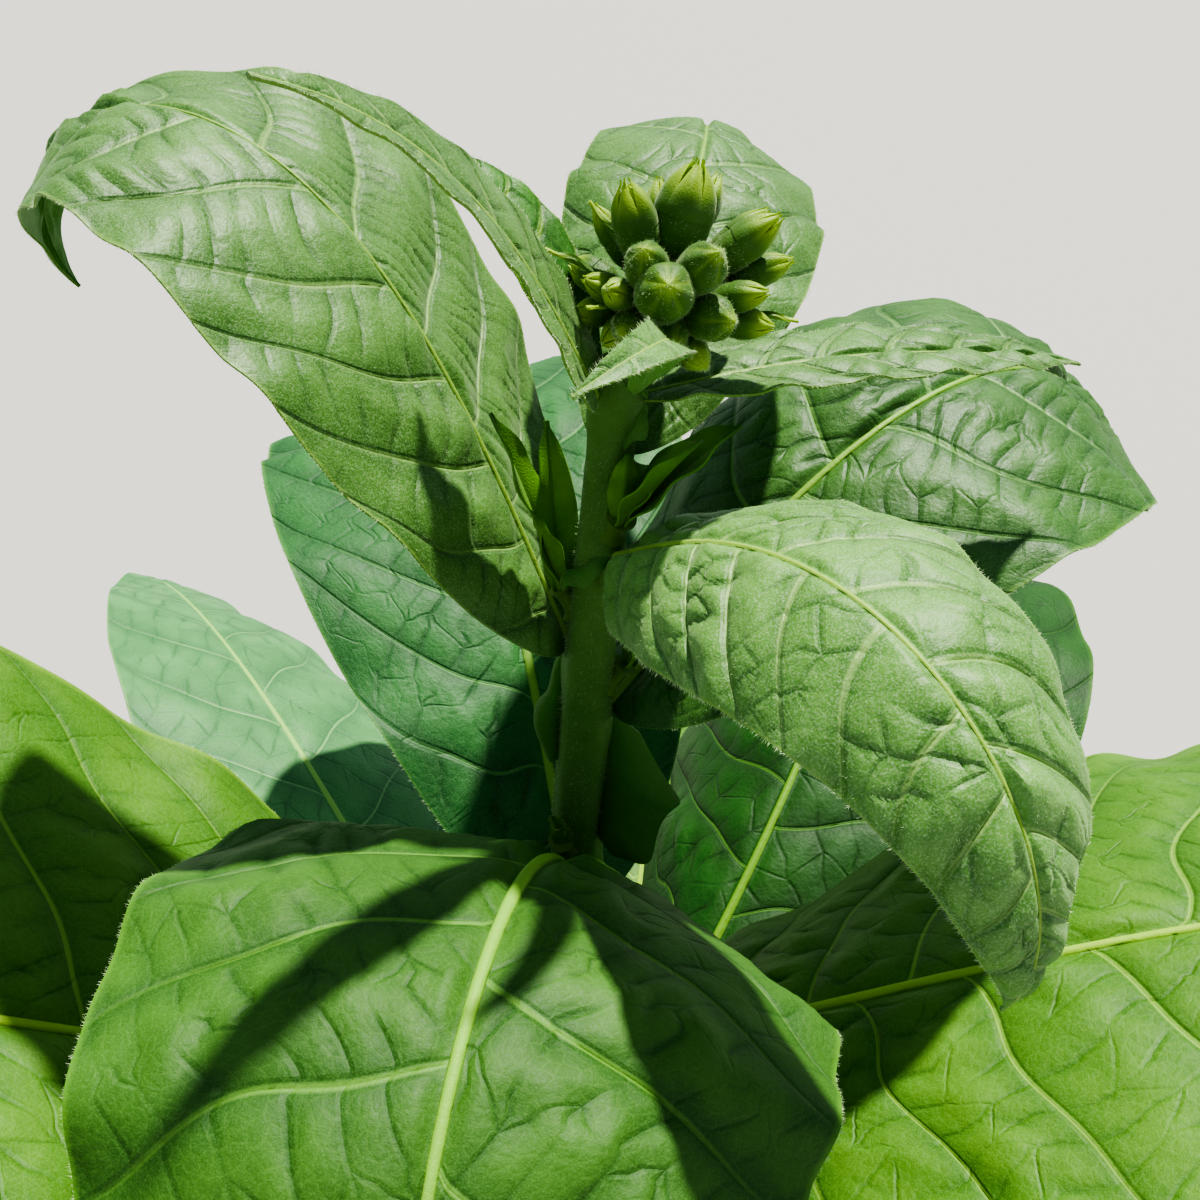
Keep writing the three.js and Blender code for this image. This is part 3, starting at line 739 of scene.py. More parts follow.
def lay_out(leaf, along, across, seed):
    """Shares along and across a blade for its grid of points, and their count of side veins.

    A side vein leaves the midrib at VEIN_ANGLE and sweeps forward to the margin. The rows of
    points follow the side veins and crowd at them. The columns crowd at the midrib."""
    pairs = leaf["pairs"]
    count = pairs * along
    count = count - ROW_CROWDING * np.sin(2 * np.pi * count)
    ends = eased(count, 0, 1) * eased(pairs - count, 0, 1)
    uneven = soft_noise(across * leaf["width"], count * 22, 30, seed)
    shift = (VEIN_STAGGER * np.tanh(60 * across) + VEIN_WOBBLE * uneven) * ends
    marks = np.linspace(0, 1, CURVE_MARKS)
    crowded = pairs * (marks + VEIN_CROWDING * np.sin(2 * np.pi * marks))
    start = np.interp(count - shift, crowded, marks)
    inner = np.minimum(RIB_REACH * rib_width(leaf, start) / half_width(leaf, start), 0.5)
    out = np.abs(across)
    outer = inner + (1 - inner) * (out - RIB_COLUMNS) / (1 - RIB_COLUMNS)
    v = np.sign(across) * np.where(out < RIB_COLUMNS, out / RIB_COLUMNS * inner, outer)
    lean = np.abs(v) * (1 + VEIN_SWEEP * v * v) / math.tan(VEIN_ANGLE) / leaf["length"]
    swept = half_width(leaf, marks) * eased(marks, 0, FOOT_FAN) * lean.max()
    lean = lean * min(1, MOST_SWEEP / np.gradient(swept, marks).max())
    start = start * (1 - lean * TIP_HALF_WIDTH)
    low = np.zeros_like(start)
    high = np.ones_like(start)
    for _ in range(SWEEP_STEPS):
        s = (low + high) / 2
        short = s - lean * half_width(leaf, s) * eased(s, 0, FOOT_FAN) < start
        low = np.where(short, s, low)
        high = np.where(short, high, s)
    return np.where(along == 1, 1, np.where(along == 0, 0, s)), v, count


def columns_of(leaf):
    """Columns of puckers between one side vein and the next."""
    return leaf.get("columns", 2 if leaf["length"] / leaf["pairs"] > TWO_COLUMNS_FROM else 1)


def rung_map(leaf, s, v, half, count, seed):
    """Count along the rows of puckers between the side veins, and the gap between rows.

    The puckers lie in columns from one side vein to the next. The rows of each column start at
    another place and lean another way."""
    x = v * half
    y = s * leaf["length"]
    step = PUCKER_STEP + PUCKER_STEP_GROWTH * leaf["length"]
    step = step * np.where(v > 0, *leaf.get("rungs", (1, 1)))
    rows = (np.abs(x) * math.sin(VEIN_ANGLE) + y * math.cos(VEIN_ANGLE)) / step
    rows = rows + ROW_WOBBLE * soft_noise(x, y, step * 2.2, seed + 1) + OTHER_SIDE * (v > 0)
    columns = count * columns_of(leaf)
    border = np.round(columns)
    turn = eased(columns - border, -COLUMN_BLEND, COLUMN_BLEND)

    def shift(column):
        start = ROW_START * np.sin(column * 12.9 + seed)
        return start + ROW_LEAN * np.sin(column * 5.7 + 2 * seed) * (columns - column - 0.5)

    return rows + shift(border - 1) * (1 - turn) + shift(border) * turn + COUNT_START, step


def to_nearest(value):
    """How far each value is from the nearest whole number."""
    return np.abs(value - np.round(value))


def puckers(leaf, s, v, half, count, rows, rib, seed):
    """Height of the blade's relief in millimetres, its share of the full height, and how far the
    creases between puckers sink there, from 0 to 1."""
    x = v * half
    y = s * leaf["length"]
    fading = eased(soft_noise(x, y, CREASE_GRAIN, seed + 5), -0.8, 0.5)
    crease = CREASE_LEAST + (1 - CREASE_LEAST) * fading
    arch = (2 * to_nearest(count)) ** 0.7
    rung = 1 - (2 * to_nearest(rows)) ** 0.6
    sway = MIDDLE_SWAY * (np.abs(rows - 2 * np.round(rows / 2)) - 0.5)
    middle = 1 - (2 * to_nearest(count + 0.5 + sway)) ** 0.6
    middle = middle * (columns_of(leaf) == 2)
    share = arch * (1 - crease * np.maximum(RUNG_DEPTH * rung, MIDDLE_DEPTH * middle))
    share = share + BUMP_SHARE * arch * soft_noise(x, y, BUMP_GRAIN, seed + 9)
    uneven = 0.75 + 0.4 * soft_noise(x, y, UNEVEN_GRAIN, seed + 2)
    edge = 1 - 0.85 * np.abs(v) ** 4
    near = eased(np.abs(x) / rib, 0.9, 4.0)
    ends = eased(s, 0, 0.06) * eased(1 - s, 0, 0.08)
    height = leaf["pucker"] * share * uneven * edge * near * ends
    channel = -CHANNEL_DEPTH * leaf["rib"] * np.exp(-((x / (rib * 3.5)) ** 2)) * ends
    ridge = RIDGE_HEIGHT * rib * np.sqrt(np.clip(1 - (x / rib) ** 2, 0, 1))
    ridge = ridge * (0.4 + 0.6 * eased(1 - s, 0, 0.1))
    return height + channel + ridge, share * near + (1 - near) * 0.6, crease * ends * edge


def margin_wave(leaf, s, v, seed):
    """How far the wavy margin lifts the blade in millimetres."""
    turns = 2 * np.pi * MARGIN_WAVES * s + 2.2 * np.sign(v) + 1.3 * seed
    wave = np.sin(turns) + 0.3 * np.sin(1.9 * turns + seed)
    return leaf["ruffle"] * wave * np.abs(v) ** 2.5 * eased(s, 0, 0.12) * eased(1 - s, 0, 0.12)


def stem_start(leaf):
    """Where the midrib starts, so that the blade's foot just meets the stem."""
    outward = heading_vector(leaf["heading"])
    start = stem_middle(leaf["level"]) + outward * stem_radius(leaf["level"])
    s = np.repeat(np.linspace(0, FOOT_END, FOOT_ROWS, endpoint=False), FOOT_COLUMNS)
    v = np.tile(np.linspace(-1, 1, FOOT_COLUMNS), FOOT_ROWS)
    points, _, _ = blade_surface(leaf, start, s, v)
    middle = stem_middle(points[:, 2])
    reach = np.hypot(points[:, 0] - middle[:, 0], points[:, 1] - middle[:, 1])
    below = points[:, 2] < STEM_TOP
    nearest = (reach - stem_radius(points[:, 2]))[below].min()
    return start - outward * nearest


def blade(name, leaf, across, along, seed):
    """One leaf blade as a closed sheet with its veins, puckers, wavy margin and thick midrib."""
    sheet, rows, columns = new_grid(name, across, leaf["pairs"] * round(along / leaf["pairs"]))
    s, v, count = lay_out(leaf, rows, columns, seed)
    points, face, half = blade_surface(leaf, stem_start(leaf), s, v)
    rungs, step = rung_map(leaf, s, v, half, count, seed)
    rib = rib_width(leaf, s)
    height, share, crease = puckers(leaf, s, v, half, count, rungs, rib, seed)
    lift = height + margin_wave(leaf, s, v, seed)
    place_points(sheet, points + face * lift[:, None])
    gap = leaf["length"] / leaf["pairs"]
    write_share(sheet, "one_column", float(columns_of(leaf) == 1))
    write_rows(sheet, "veins", count + COUNT_START, rungs, v * half)
    write_rows(sheet, "place", np.abs(v), share, crease)
    write_rows(sheet, "scale", gap, step, rib)
    from_vein = to_nearest(count) * gap
    out = np.abs(v * half)
    wall = RIB_DEPTH * rib * np.sqrt(np.clip(1 - (out / (rib * 1.15)) ** 2, 0, 1))
    side_rib = np.exp(-((from_vein / SIDE_RIB_WIDTH) ** 2)) * (1 - np.abs(v))
    side_rib = SIDE_RIB_DEPTH * leaf["rib"] * side_rib
    wall = SHEET_THICKNESS + np.maximum(wall, side_rib * eased(s, 0, 0.05))
    wear(sheet, blade_finishes[leaf["finish"]], underside)
    thicken(sheet, wall.max(), wall / wall.max())
    smooth(sheet, 50)
    return sheet


# Hairs

# Half-widths and lengths in millimetres. The hairs are a little thicker than life, so that they
# show. Those on the skin are finer than those that stand against the light.
HAIR_WIDTH = 0.035
DOWN_WIDTH = 0.018
DOWN_LENGTH = 0.6
BUD_HAIR_LENGTH = 0.6
MARGIN_HAIR_LENGTH = 0.8
STEM_HAIR_LENGTH = 0.9
HAIR_LEAN = 0.35
# Hairs to each millimetre of a margin.
MARGIN_HAIRS = 3.5


def hairs(name, roots, ways, length, seed, width=HAIR_WIDTH):
    """Closed three-sided spikes on these roots, pointing these ways, of uneven length.

    They are made straight from their corners, because there are thousands of them."""
    rng = np.random.default_rng(seed)
    count = len(roots)
    ways = ways + rng.normal(0, HAIR_LEAN, (count, 3))
    ways /= np.linalg.norm(ways, axis=1)[:, None]
    aside = np.cross(ways, rng.normal(0, 1, (count, 3)))
    aside /= np.linalg.norm(aside, axis=1)[:, None]
    across = np.cross(ways, aside)
    tips = roots + ways * (length * rng.uniform(0.45, 1.1, count))[:, None]
    corners = [roots + width * (aside * math.cos(a) + across * math.sin(a))
               for a in (0, 2 * math.pi / 3, 4 * math.pi / 3)]
    rows = np.stack([*corners, tips], 1).reshape(-1, 3) * MM
    first = np.arange(count)[:, None, None] * 4
    faces = (first + np.array([[0, 2, 1], [0, 1, 3], [1, 2, 3], [2, 0, 3]])).reshape(-1, 3)
    mesh = bpy.data.meshes.new(name)
    mesh.from_pydata(rows.tolist(), [], faces.tolist())
    piece = placed(name, mesh)
    wear(piece, hair_gloss)
    return piece


def skin_hairs(piece, count, seed):
    """Hairs all over a piece, standing up from its skin."""
    faces = piece.data.polygons
    areas = rows_of(faces, "area", 1).ravel()
    rng = np.random.default_rng(seed)
    chosen = rng.choice(len(faces), count, p=areas / areas.sum())
    ways = rows_of(faces, "normal")[chosen]
    aside = np.cross(ways, rng.normal(0, 1, (count, 3))) * 0.3
    roots = rows_of(faces, "center")[chosen] / MM + aside
    return hairs(piece.name + "_down", roots, ways, DOWN_LENGTH, seed, DOWN_WIDTH)


def margin_hairs(name, leaf, seed):
    """Hairs along both margins of a blade, pointing outward."""
    rng = np.random.default_rng(seed)
    rows = int(leaf["length"] * MARGIN_HAIRS)
    s = rng.uniform(0.02, 0.995, rows * 2)
    v = np.where(np.arange(rows * 2) % 2 == 0, 1.0, -1.0)
    start = stem_start(leaf)
    points, face, _ = blade_surface(leaf, start, s, v)
    inner, _, _ = blade_surface(leaf, start, s, v * 0.9)
    outward = points - inner
    outward /= np.linalg.norm(outward, axis=1)[:, None]
    roots = points + face * margin_wave(leaf, s, v, seed)[:, None]
    return hairs(name, roots, outward + 0.3 * face, MARGIN_HAIR_LENGTH, seed)


# Leaves on the stem

# Columns and rows of each blade's grid. Blades longer than the first number, in millimetres,
# have the large grid, and those longer than the second have the medium one.
LARGE_FROM = 150
MEDIUM_FROM = 60
LARGE_GRID = (110, 170)
MEDIUM_GRID = (84, 150)
SMALL_GRID = (36, 60)
LOWER_GRID = (40, 70)
# Long leaves that hang behind others or under the picture, with the medium grid.
HIDDEN_LEAVES = ("right_back_low", "front_low", "left_back_low")
YOUNG_FINISHES = ("young", "lime", "sunlit_velvet")

# Hairs on both faces of the young leaves, whose down shows as a pale rim against the light.
DOWNY_LEAVES = {
    "left_folded": 2500, "back_top": 4000, "right_front": 6000, "left_back": 10000,
    "right_back": 6000, "right_slender": 2500, "bract_back_left": 1200, "bract_front": 800,
}


def grid_for(name, leaf):
    """Columns and rows of points for a leaf's blade."""
    if name.startswith("low_"):
        return LOWER_GRID
    if leaf["length"] > LARGE_FROM and name not in HIDDEN_LEAVES:
        return LARGE_GRID
    return MEDIUM_GRID if leaf["length"] > MEDIUM_FROM else SMALL_GRID


all_leaves = {**VISIBLE_LEAVES, **lower_leaves()}
leaf_seeds = {leaf_name: number * 7 for number, leaf_name in enumerate(all_leaves)}
down_parts = []
for number, (leaf_name, leaf) in enumerate(all_leaves.items()):
    piece = blade("blade_" + leaf_name, leaf, *grid_for(leaf_name, leaf), leaf_seeds[leaf_name])
    slot = "young_leaf" if leaf["finish"] in YOUNG_FINISHES else "leaf"
    settle(piece, slot, "leaf_" + leaf_name)
    if leaf_name in DOWNY_LEAVES:
        down_parts.append(skin_hairs(piece, DOWNY_LEAVES[leaf_name], number))
settle(joined("leaf_down", down_parts), "young_leaf")


# Stem

STEM_SEGMENTS = 48
# Cuts across the stem, and then across each part between those.
STEM_CUTS = (60, 5)
# Ribs down the stem, which wind slowly and stand out by a share of its radius.
STEM_RIBS = 5
STEM_RIB_HEIGHT = 0.05
STEM_RIB_WINDING = 90
# Swelling under each leaf foot: how far it stands out, its middle below the leaf and its height.
NODE_SWELL = 0.9
NODE_DROP = 3
NODE_HEIGHT = 5


def make_stem():
    """The stem from a cylinder cut into rings: ribbed, and swollen a little under each leaf."""
    stem, up, turn = new_tube("green_stem", STEM_SEGMENTS, *STEM_CUTS)
    z = up * STEM_TOP
    radius = stem_radius(z)
    radius = radius * (1 + STEM_RIB_HEIGHT * np.sin(STEM_RIBS * turn + z / STEM_RIB_WINDING))
    for leaf in all_leaves.values():
        beside = np.exp((np.cos(turn - math.radians(leaf["heading"])) - 1) * 1.6)
        below = np.exp(-(((z - leaf["level"] + NODE_DROP) / NODE_HEIGHT) ** 2))
        radius = radius + NODE_SWELL * beside * below
    place = stem_middle(z)
    place[:, 0] += radius * np.cos(turn)
    place[:, 1] += radius * np.sin(turn)
    place_points(stem, place)
    wear(stem, stem_skin)
    smooth(stem, 50)
    return stem


settle(make_stem(), "stem", "stem")


# Ears at the leaf feet

EAR_GRID = (8, 36)
EAR_THICKNESS = 0.5
# An ear starts this many degrees round the stem from the midrib and this far above the leaf's
# level, and its foot sinks a little into the stem.
EAR_STARTS = 6
EAR_RISE = 1.5
EAR_SINKS = 0.3


def ear(name, leaf, side, wrap, drop, width, clasp, curl, seed):
    """A wavy ear that runs from a leaf's foot round and down the stem.

    It goes wrap degrees round the stem while it drops. It leaves the stem at clasp degrees from
    straight out, towards the way that it goes round, and turns by curl up to its free edge."""
    sheet, a, u = new_grid(name, *EAR_GRID)
    out = (1 - u) / 2 if side > 0 else (1 + u) / 2
    turn = leaf["heading"] + side * (EAR_STARTS + wrap * a)
    z = leaf["level"] + EAR_RISE - drop * a
    radial = heading_vector(turn)
    tangent = heading_vector(turn + side * 90)
    foot = stem_middle(z) + radial * (stem_radius(z) - EAR_SINKS)[:, None]
    grow = width * (0.25 + 0.75 * np.sin(np.pi * np.clip(a, 0.001, 0.999) ** 1.3) ** 0.8)
    grow = grow * (1 + 0.12 * np.sin(13 * a + seed))
    first = math.radians(clasp)
    bend = math.radians(curl)
    outward = (np.sin(first + bend * out) - math.sin(first)) / bend
    round_stem = (math.cos(first) - np.cos(first + bend * out)) / bend
    points = foot + radial * (grow * outward)[:, None] + tangent * (grow * round_stem)[:, None]
    wave = 0.13 * np.sin(15 * a + 2.1 * seed) * out**1.5 - 0.3 * out**2
    points[:, 2] += width * wave
    place_points(sheet, points)
    wear(sheet, ear_skin, underside)
    thicken(sheet, EAR_THICKNESS, offset=0)
    smooth(sheet, 60)
    return sheet


# Leaf, side (1 left, -1 right), turn round the stem, drop, width, clasp and curl of each ear.
EARS = [
    ("left_back", 1, 40, 27, 7, 70, -150), ("left_back", -1, 30, 14, 6, 50, -60),
    ("right_front", 1, 40, 8, 6, 60, -80), ("right_front", -1, 105, 8, 6, 80, -170),
    ("right_back", 1, 35, 20, 9, 50, -60), ("right_back", -1, 50, 33, 16, 45, -50),
    ("front", 1, 60, 12, 8, 70, -130), ("front", -1, 60, 12, 8, 70, -130),
    ("back_top", 1, 40, 10, 6, 60, -90), ("back_top", -1, 40, 10, 6, 60, -90),
    ("bract_front", 1, 40, 5, 3, 60, -60), ("right_slender", -1, 60, 8, 4, 60, -90),
]
# The leaves below this level all have the same ears.
LOWER_EARS_FROM = 1130
LOWER_EAR = (60, 20, 13, 60, -80)
for leaf_name, leaf in all_leaves.items():
    if leaf["level"] < LOWER_EARS_FROM:
        EARS += [(leaf_name, 1, *LOWER_EAR), (leaf_name, -1, *LOWER_EAR)]

ears = [
    ear(f"ear_{number}", all_leaves[leaf_name], *measures, number * 1.7)
    for number, (leaf_name, *measures) in enumerate(EARS)
]
settle(joined("leaf_foot_ears", ears), "leaf")


# Flower buds

HUB = np.array([13.0, 3.0, 1276.0])
NECK_RADIUS = 2.7
STALK_RADIUS = 1.1
STALK_SIDES = 98
STALK_CUTS = 6
# Heading, rise, reach of the tip from the hub, length and width of each bud, and how far its
# teeth stand apart, from 0 on a round young bud to 1 on a tall one.
BUDS = [
    (26, 73, 23.7, 15.5, 9.4, 0.8), (191, 76, 21.4, 13, 7, 0.9), (258, 48, 19.7, 10, 7, 0.1),
    (273, 31, 21, 11, 9.2, 0), (304, 42, 21.2, 10.5, 7.4, 0.2), (312, 10, 17.9, 10, 7.4, 0.1),
    (280, -2, 14.2, 8, 6.4, 0), (357, 39, 24.3, 13, 6.2, 1), (19, 37, 23.4, 12, 5, 1),
    (332, 18, 19.9, 10, 4.8, 0.9), (3, 20, 22.9, 11, 5, 1), (48, 50, 23.7, 12, 5, 1),
    (88, 64, 20.4, 12, 4.8, 1), (153, 54, 18.8, 11, 4.2, 1), (204, 29, 14.4, 9, 4.6, 0.8),
    (234, 29, 15.5, 7, 4.8, 0.5), (342, -2, 19.3, 10, 5.2, 0.8), (112, 34, 20, 11, 7, 0.5),
    (72, 24, 21, 11, 6.8, 0.5), (35, 12, 19, 10, 6, 0.5), (148, 16, 17, 9, 5.6, 0.5),
    (243, 4, 14, 8, 5.6, 0.1), (262, -26, 13, 8, 6, 0), (305, -22, 15, 9, 5.6, 0.3),
    (222, -12, 12, 8, 5, 0.4), (190, 2, 13.5, 8, 4.8, 0.6),
]
# Heading, rise, length and width of the narrow bracts among the buds.
BUD_BRACTS = [
    (352, 3, 23, 2.4), (183, 35, 20.4, 2.8), (170, 62, 20, 2.2), (228, 22, 17, 2.4),
    (62, 66, 20, 2.2),
]
BUD_SEGMENTS = 50
BUD_RINGS = 36
SEPALS = 5
# Degrees that each bud is turned on its stalk against the one before, and the share of a bud's
# length that its closed body takes up under the points of its teeth.
BUD_TURN = 41
BODY_SHARE = 0.97
TOOTH_THICKNESS = 0.28
# Buds whose teeth stand apart by no more than this are round, with no teeth of their own.
TEETH_FROM = 0.3
# Share of a bud's length against share of its half-width, from the stalk to the closed tip.
BUD_UP = [0, 0.03, 0.1, 0.2, 0.35, 0.55, 0.7, 0.82, 0.92, 1]
BUD_OUT = [0.2, 0.5, 0.78, 0.93, 1, 0.97, 0.82, 0.56, 0.27, 0.02]
TOOTH_GRID = (8, 12)


def bud_frame(number, heading, rise):
    """The bud's own sideways directions and the way that it points."""
    ahead = heading_vector(heading, rise)
    level = heading_vector(heading + 90)
    upright = np.cross(ahead, level)
    turn = math.radians(number * BUD_TURN)
    first = level * math.cos(turn) + upright * math.sin(turn)
    return first, np.cross(ahead, first), ahead


def round_about(middles, first, second, out, turn):
    """Points at these distances and turns round the middles, between two sideways directions."""
    return middles + first * (out * np.cos(turn))[:, None] + second * (out * np.sin(turn))[:, None]


def bud_out(up, turn, apart):
    """Share of the half-width at shares up of a bud, whose sepals bulge and meet in grooves."""
    keel = np.cos(SEPALS * turn)
    out = np.interp(up, BUD_UP, BUD_OUT)
    out = out * (1 + 0.02 * keel + (0.1 + 0.06 * apart) * eased(up, 0.55, 0.95) * keel)
    return out * (1 - 0.07 * groove(turn) * eased(up, 0.35, 0.8))


def groove(turn):
    """1 where two sepals of a bud meet, and 0 away from there."""
    return np.exp(-((np.sin((turn * SEPALS - np.pi) / 2) / 0.22) ** 2))


def bud(number, heading, rise, reach, length, width, apart):
    """One closed bud: five joined sepals that end in lime teeth, on a short stalk."""
    first, second, ahead = bud_frame(number, heading, rise)
    foot = reach - length
    bpy.ops.mesh.primitive_uv_sphere_add(segments=BUD_SEGMENTS, ring_count=BUD_RINGS, radius=1)
    body = bpy.context.object
    ball = points_of(body)
    turn = np.arctan2(ball[:, 1], ball[:, 0])
    up = np.arccos(np.clip(-ball[:, 2], -1, 1)) / np.pi
    pole = np.hypot(ball[:, 0], ball[:, 1]) < 1e-4
    out = bud_out(up, turn, apart) * width / 2
    out = np.where(pole, 0, out)
    along = foot + up * length * BODY_SHARE
    place_points(body, round_about(HUB + ahead * along[:, None], first, second, out, turn))
    # Lime towards the tips: partly the sepals' own colour, partly painted glow of light through the
    # thin tips. The lime along the seams between sepals is painted light over the shade there.
    tip_share = (0.6 + 0.3 * apart) * eased(up, 0.5 + 0.3 * (apart < TEETH_FROM), 1.0)
    tip_share = tip_share + 0.3 * groove(turn) * eased(up, 0.4, 0.8)
    write_share(body, "tip", np.clip(tip_share, 0, 1))
    wear(body, calyx_skin)
    smooth(body, 60)
    made = [body]
    for i in range(SEPALS if apart > TEETH_FROM else 0):
        tooth, b, a = new_grid(f"tooth_{number}_{i}", *TOOTH_GRID)
        high = 0.45 + (0.54 + 0.03 * apart) * b
        spread = a * math.pi / SEPALS * 1.06 * np.clip(1 - b**3.4, 0, 1)
        middle = 2 * math.pi * i / SEPALS + 0.05 * math.sin(3 * i + number)
        out = bud_out(np.clip(high, 0, 0.98), middle + spread, apart) * width / 2
        lean = apart * 0.05 * math.sin(i * 2.3 + number) ** 2
        out = out + width * (0.025 * np.sqrt(b) + lean * b**3)
        middles = HUB + ahead * (foot + high * length)[:, None]
        place_points(tooth, round_about(middles, first, second, out, middle + spread))
        write_share(tooth, "tip", eased(b, 0.2, 0.85) * (0.6 + 0.4 * np.abs(a) ** 3))
        wear(tooth, calyx_skin, calyx_skin)
        thicken(tooth, TOOTH_THICKNESS, offset=0)
        smooth(tooth, 60)
        made.append(tooth)
    made.append(bud_stalk(number, HUB, HUB + ahead * (foot + 0.6), STALK_RADIUS))
    return made


def bud_stalk(number, start, end, radius):
    """A round stalk from start to end, a little thicker at both ends."""
    stalk, up, turn = new_tube(f"stalk_{number}", STALK_SIDES, STALK_CUTS)
    ahead = (end - start) / np.linalg.norm(end - start)
    first = np.cross(ahead, [0.3, 0.5, 0.81])
    first /= np.linalg.norm(first)
    second = np.cross(ahead, first)
    wide = radius * (0.85 + 0.6 * (2 * up - 1) ** 4)
    middles = start + (end - start) * up[:, None]
    place_points(stalk, round_about(middles, first, second, wide, turn))
    write_share(stalk, "tip", 0.12)
    wear(stalk, calyx_skin)
    smooth(stalk, 60)
    return stalk


LEAFLET = dict(
    droop=12, bend=1.5, sway=0, roll=0, twist=0, widest=0.45, fold=(22, 22), curl=(0, 0),
)
LEAFLET_GRID = (14, 26)
LEAFLET_THICKNESS = 0.35
# Depth of the groove over a leaflet's midrib and height of its wavy margin, shares of its length.
LEAFLET_RELIEF = 0.02


def leaflet(name, measures, start, finish, seed):
    """A small new leaf by the blade rule, with a midrib but no side veins to speak of. Its
    measures are its heading, rise, length and width."""
    leaf = {**LEAFLET, **dict(zip(("heading", "rise", "length", "width"), measures))}
    sheet, s, v = new_grid(name, *LEAFLET_GRID)
    points, face, half = blade_surface(leaf, start, s, v)
    depth = LEAFLET_RELIEF * leaf["length"]
    rib = depth * np.exp(-((v * half / 0.5) ** 2)) * (1 - s)
    wave = depth * np.abs(v) ** 2 * np.sin(17 * s + seed) * eased(1 - s, 0, 0.2)
    place_points(sheet, points + face * (wave - rib)[:, None])
    write_share(sheet, "tip", eased(s, 0.75, 1.0) * 0.8)
    wear(sheet, finish, finish)
    thicken(sheet, LEAFLET_THICKNESS)
    smooth(sheet, 60)
    return sheet


bud_parts = []
for number, measures in enumerate(BUDS):
    bud_parts += bud(number, *measures)
for number, measures in enumerate(BUD_BRACTS):
    bud_parts.append(leaflet(f"bud_bract_{number}", measures, HUB, calyx_skin, number))
neck_foot = np.append(stem_middle(STEM_TOP)[:2], STEM_TOP - 1.0)
bud_parts.append(bud_stalk("neck", neck_foot, HUB, NECK_RADIUS))
settle(joined("bud_head", bud_parts), "buds", "flower_buds")

BUD_HAIRS = 620
roots = []
ways = []
rng = np.random.default_rng(11)
for number, (heading, rise, reach, length, width, apart) in enumerate(BUDS):
    first, second, ahead = bud_frame(number, heading, rise)
    up = rng.uniform(0.02, 1, BUD_HAIRS)
    turn = rng.uniform(0, 2 * np.pi, BUD_HAIRS)
    out = bud_out(up, turn, apart) * width / 2
    side = first * np.cos(turn)[:, None] + second * np.sin(turn)[:, None]
    along = reach - length + up * length * BODY_SHARE
    roots.append(HUB + ahead * along[:, None] + side * out[:, None])
    ways.append(side + ahead * (0.4 + up[:, None]))
bud_hairs = hairs("bud_hairs", np.vstack(roots), np.vstack(ways), BUD_HAIR_LENGTH, 12)
settle(bud_hairs, "buds")


# Side shoots

STUB_RADIUS = 1.9
STUB_STARTS = 3
STUB_RISE = 2
CLEAR = 0.3
# Node, level and heading of the stub, then heading, rise, length and width of each leaflet.
SHOOTS = [
    ("shoot_left_back", 1220, 158, [(163, 76, 38, 9.5), (110, 84, 34, 8), (225, 78, 22, 6)]),
    ("shoot_right_front", 1240, 300,
     [(285, 84, 16, 5.5), (335, 60, 24, 12), (5, 58, 20, 7), (10, 46, 27, 12)]),
    ("shoot_right_back", 1203, 5, [(350, 66, 17, 5), (20, 76, 14, 4)]),
    ("shoot_front", 1163, 245, [(240, 80, 12, 5), (285, 76, 9, 4)]),
]

for node, level, heading, leaflets in SHOOTS:
    outward = heading_vector(heading)
    start = stem_middle(level) + outward * (stem_radius(level) + CLEAR + STUB_RADIUS)
    parts = [
        leaflet(f"{node}_{number}", measures, start, shoot_skin, number * 2)
        for number, measures in enumerate(leaflets)
    ]
    inward = stem_middle(level - STUB_STARTS) + outward * (stem_radius(level) - 1)
    parts.append(bud_stalk(node, inward, start + [0, 0, STUB_RISE], STUB_RADIUS))
    settle(joined("new_" + node, parts), "shoots", node)


# Hairs on the upper stem and on the margins that show against the light

HAIRY_LEAVES = [
    "bract_back_left", "bract_front", "right_slender", "left_folded", "back_top", "right_front",
    "left_back", "right_back", "front", "back", "right_low", "left_low", "right_back_low",
]
tufts = [
    margin_hairs(leaf_name + "_hairs", all_leaves[leaf_name], leaf_seeds[leaf_name])
    for leaf_name in HAIRY_LEAVES
]
settle(joined("leaf_margin_hairs", tufts), "leaf")

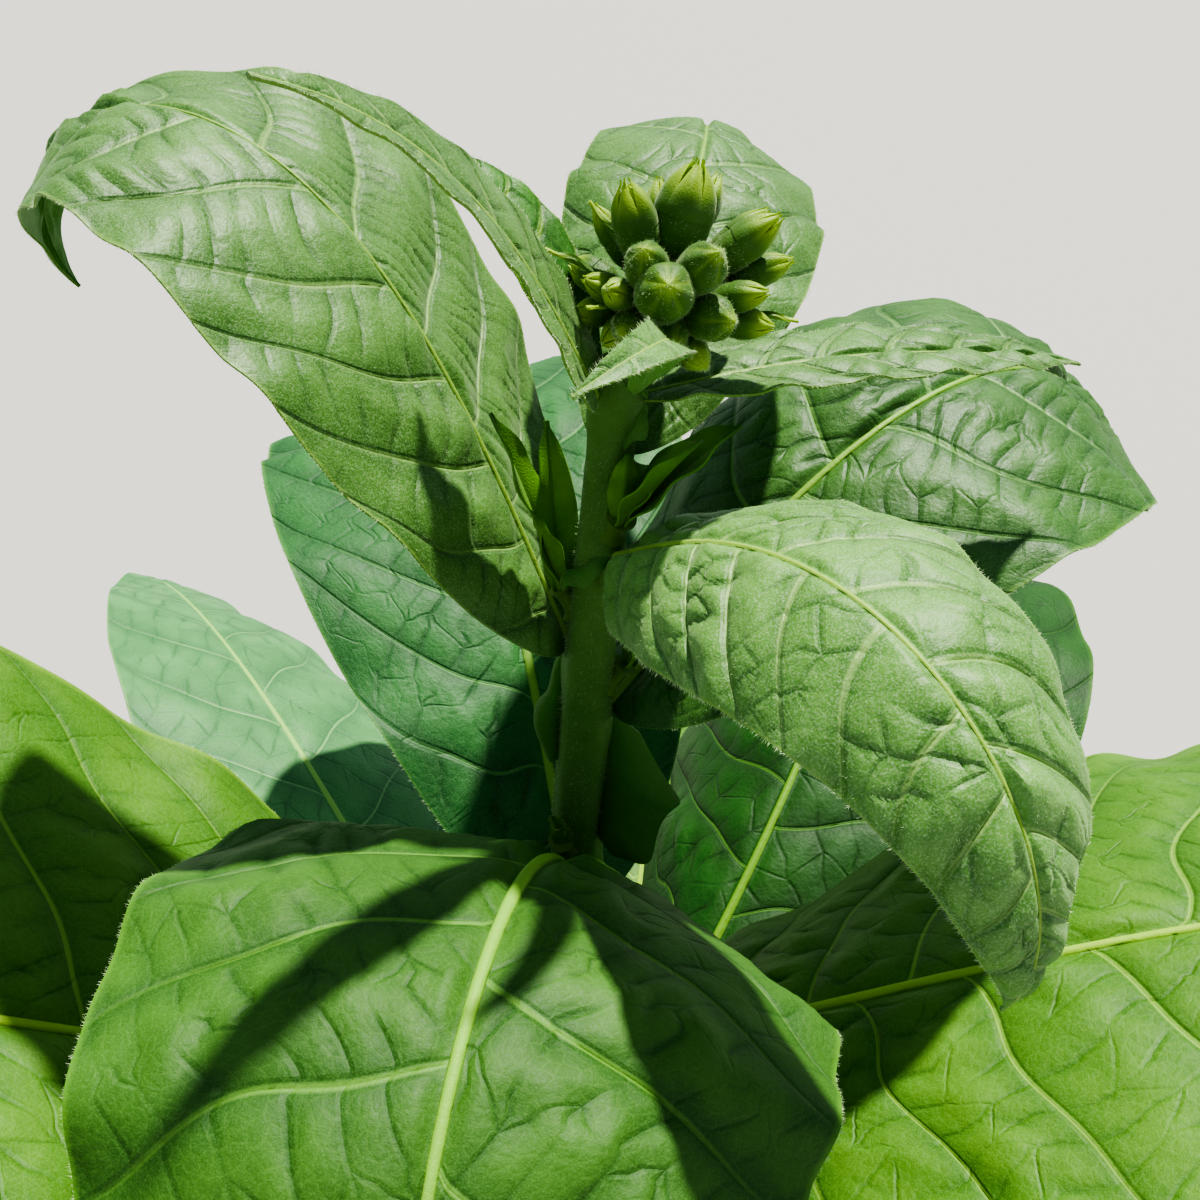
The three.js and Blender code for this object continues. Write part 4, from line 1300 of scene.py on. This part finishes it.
STEM_HAIRS = 9000
STEM_HAIRS_FROM = 900
rng = np.random.default_rng(5)
z = rng.uniform(STEM_HAIRS_FROM, STEM_TOP, STEM_HAIRS)
side = heading_vector(rng.uniform(0, 360, STEM_HAIRS))
roots = stem_middle(z) + side * stem_radius(z)[:, None]
settle(hairs("stem_hairs", roots, side, STEM_HAIR_LENGTH, 6), "stem")


# Floor, light and camera

FLOOR_SIZE = 40
SUN_FROM = np.array([0.183, 0.345, 0.921])
SUN_STRENGTH = 4.6
SUN_WIDTH = 2
SUN_COLOUR = (1.0, 0.97, 0.9)
SKY_STRENGTH = 0.32
SKY_COLOUR = (0.72, 0.9, 1.0, 1)
EXPOSURE = 0.4
CAMERA_PLACE = (0.004, -0.186, 1.351)
CAMERA_PITCH = 35
CAMERA_LENS = 36.75
CAMERA_SENSOR = 36

bpy.ops.mesh.primitive_plane_add(size=FLOOR_SIZE)
floor = bpy.context.object
floor.name = "pale_floor"
# Floor: painted board, pale and matt, which shows the shade of the plant and nothing else.
floor_paint, tree = new_finish("matt_pale_floor")
shader = add(tree, "BsdfPrincipled", {"Base Color": linear("#b4b1ad"), "Roughness": 0.85})
add(tree, "OutputMaterial", [shader])
wear(floor, floor_paint)


def aim(lamp, direction):
    """Turns a lamp so that its light comes from this direction."""
    way = -direction / np.linalg.norm(direction)
    lamp.rotation_euler = (math.acos(-way[2]), 0, math.atan2(way[1], way[0]) - math.pi / 2)


key_light = bpy.data.lights.new("soft_key", "SUN")
key_light.energy = SUN_STRENGTH
key_light.angle = math.radians(SUN_WIDTH)
key_light.color = SUN_COLOUR
aim(placed("soft_key", key_light), SUN_FROM)

world = bpy.data.worlds.new("studio_light")
world.use_nodes = True
sky = world.node_tree.nodes["Background"]
sky.inputs["Color"].default_value = SKY_COLOUR
sky.inputs["Strength"].default_value = SKY_STRENGTH
bpy.context.scene.world = world
view = bpy.context.scene.view_settings
view.view_transform = "AgX"
view.look = "AgX - High Contrast"
view.exposure = EXPOSURE

camera_data = bpy.data.cameras.new("camera")
camera_data.sensor_width = CAMERA_SENSOR
camera_data.lens = CAMERA_LENS
camera_data.clip_start = 0.01
camera_data.clip_end = 100
camera = placed("camera", camera_data)
camera.location = CAMERA_PLACE
camera.rotation_euler = (math.radians(90 - CAMERA_PITCH), 0, 0)
bpy.context.scene.camera = camera
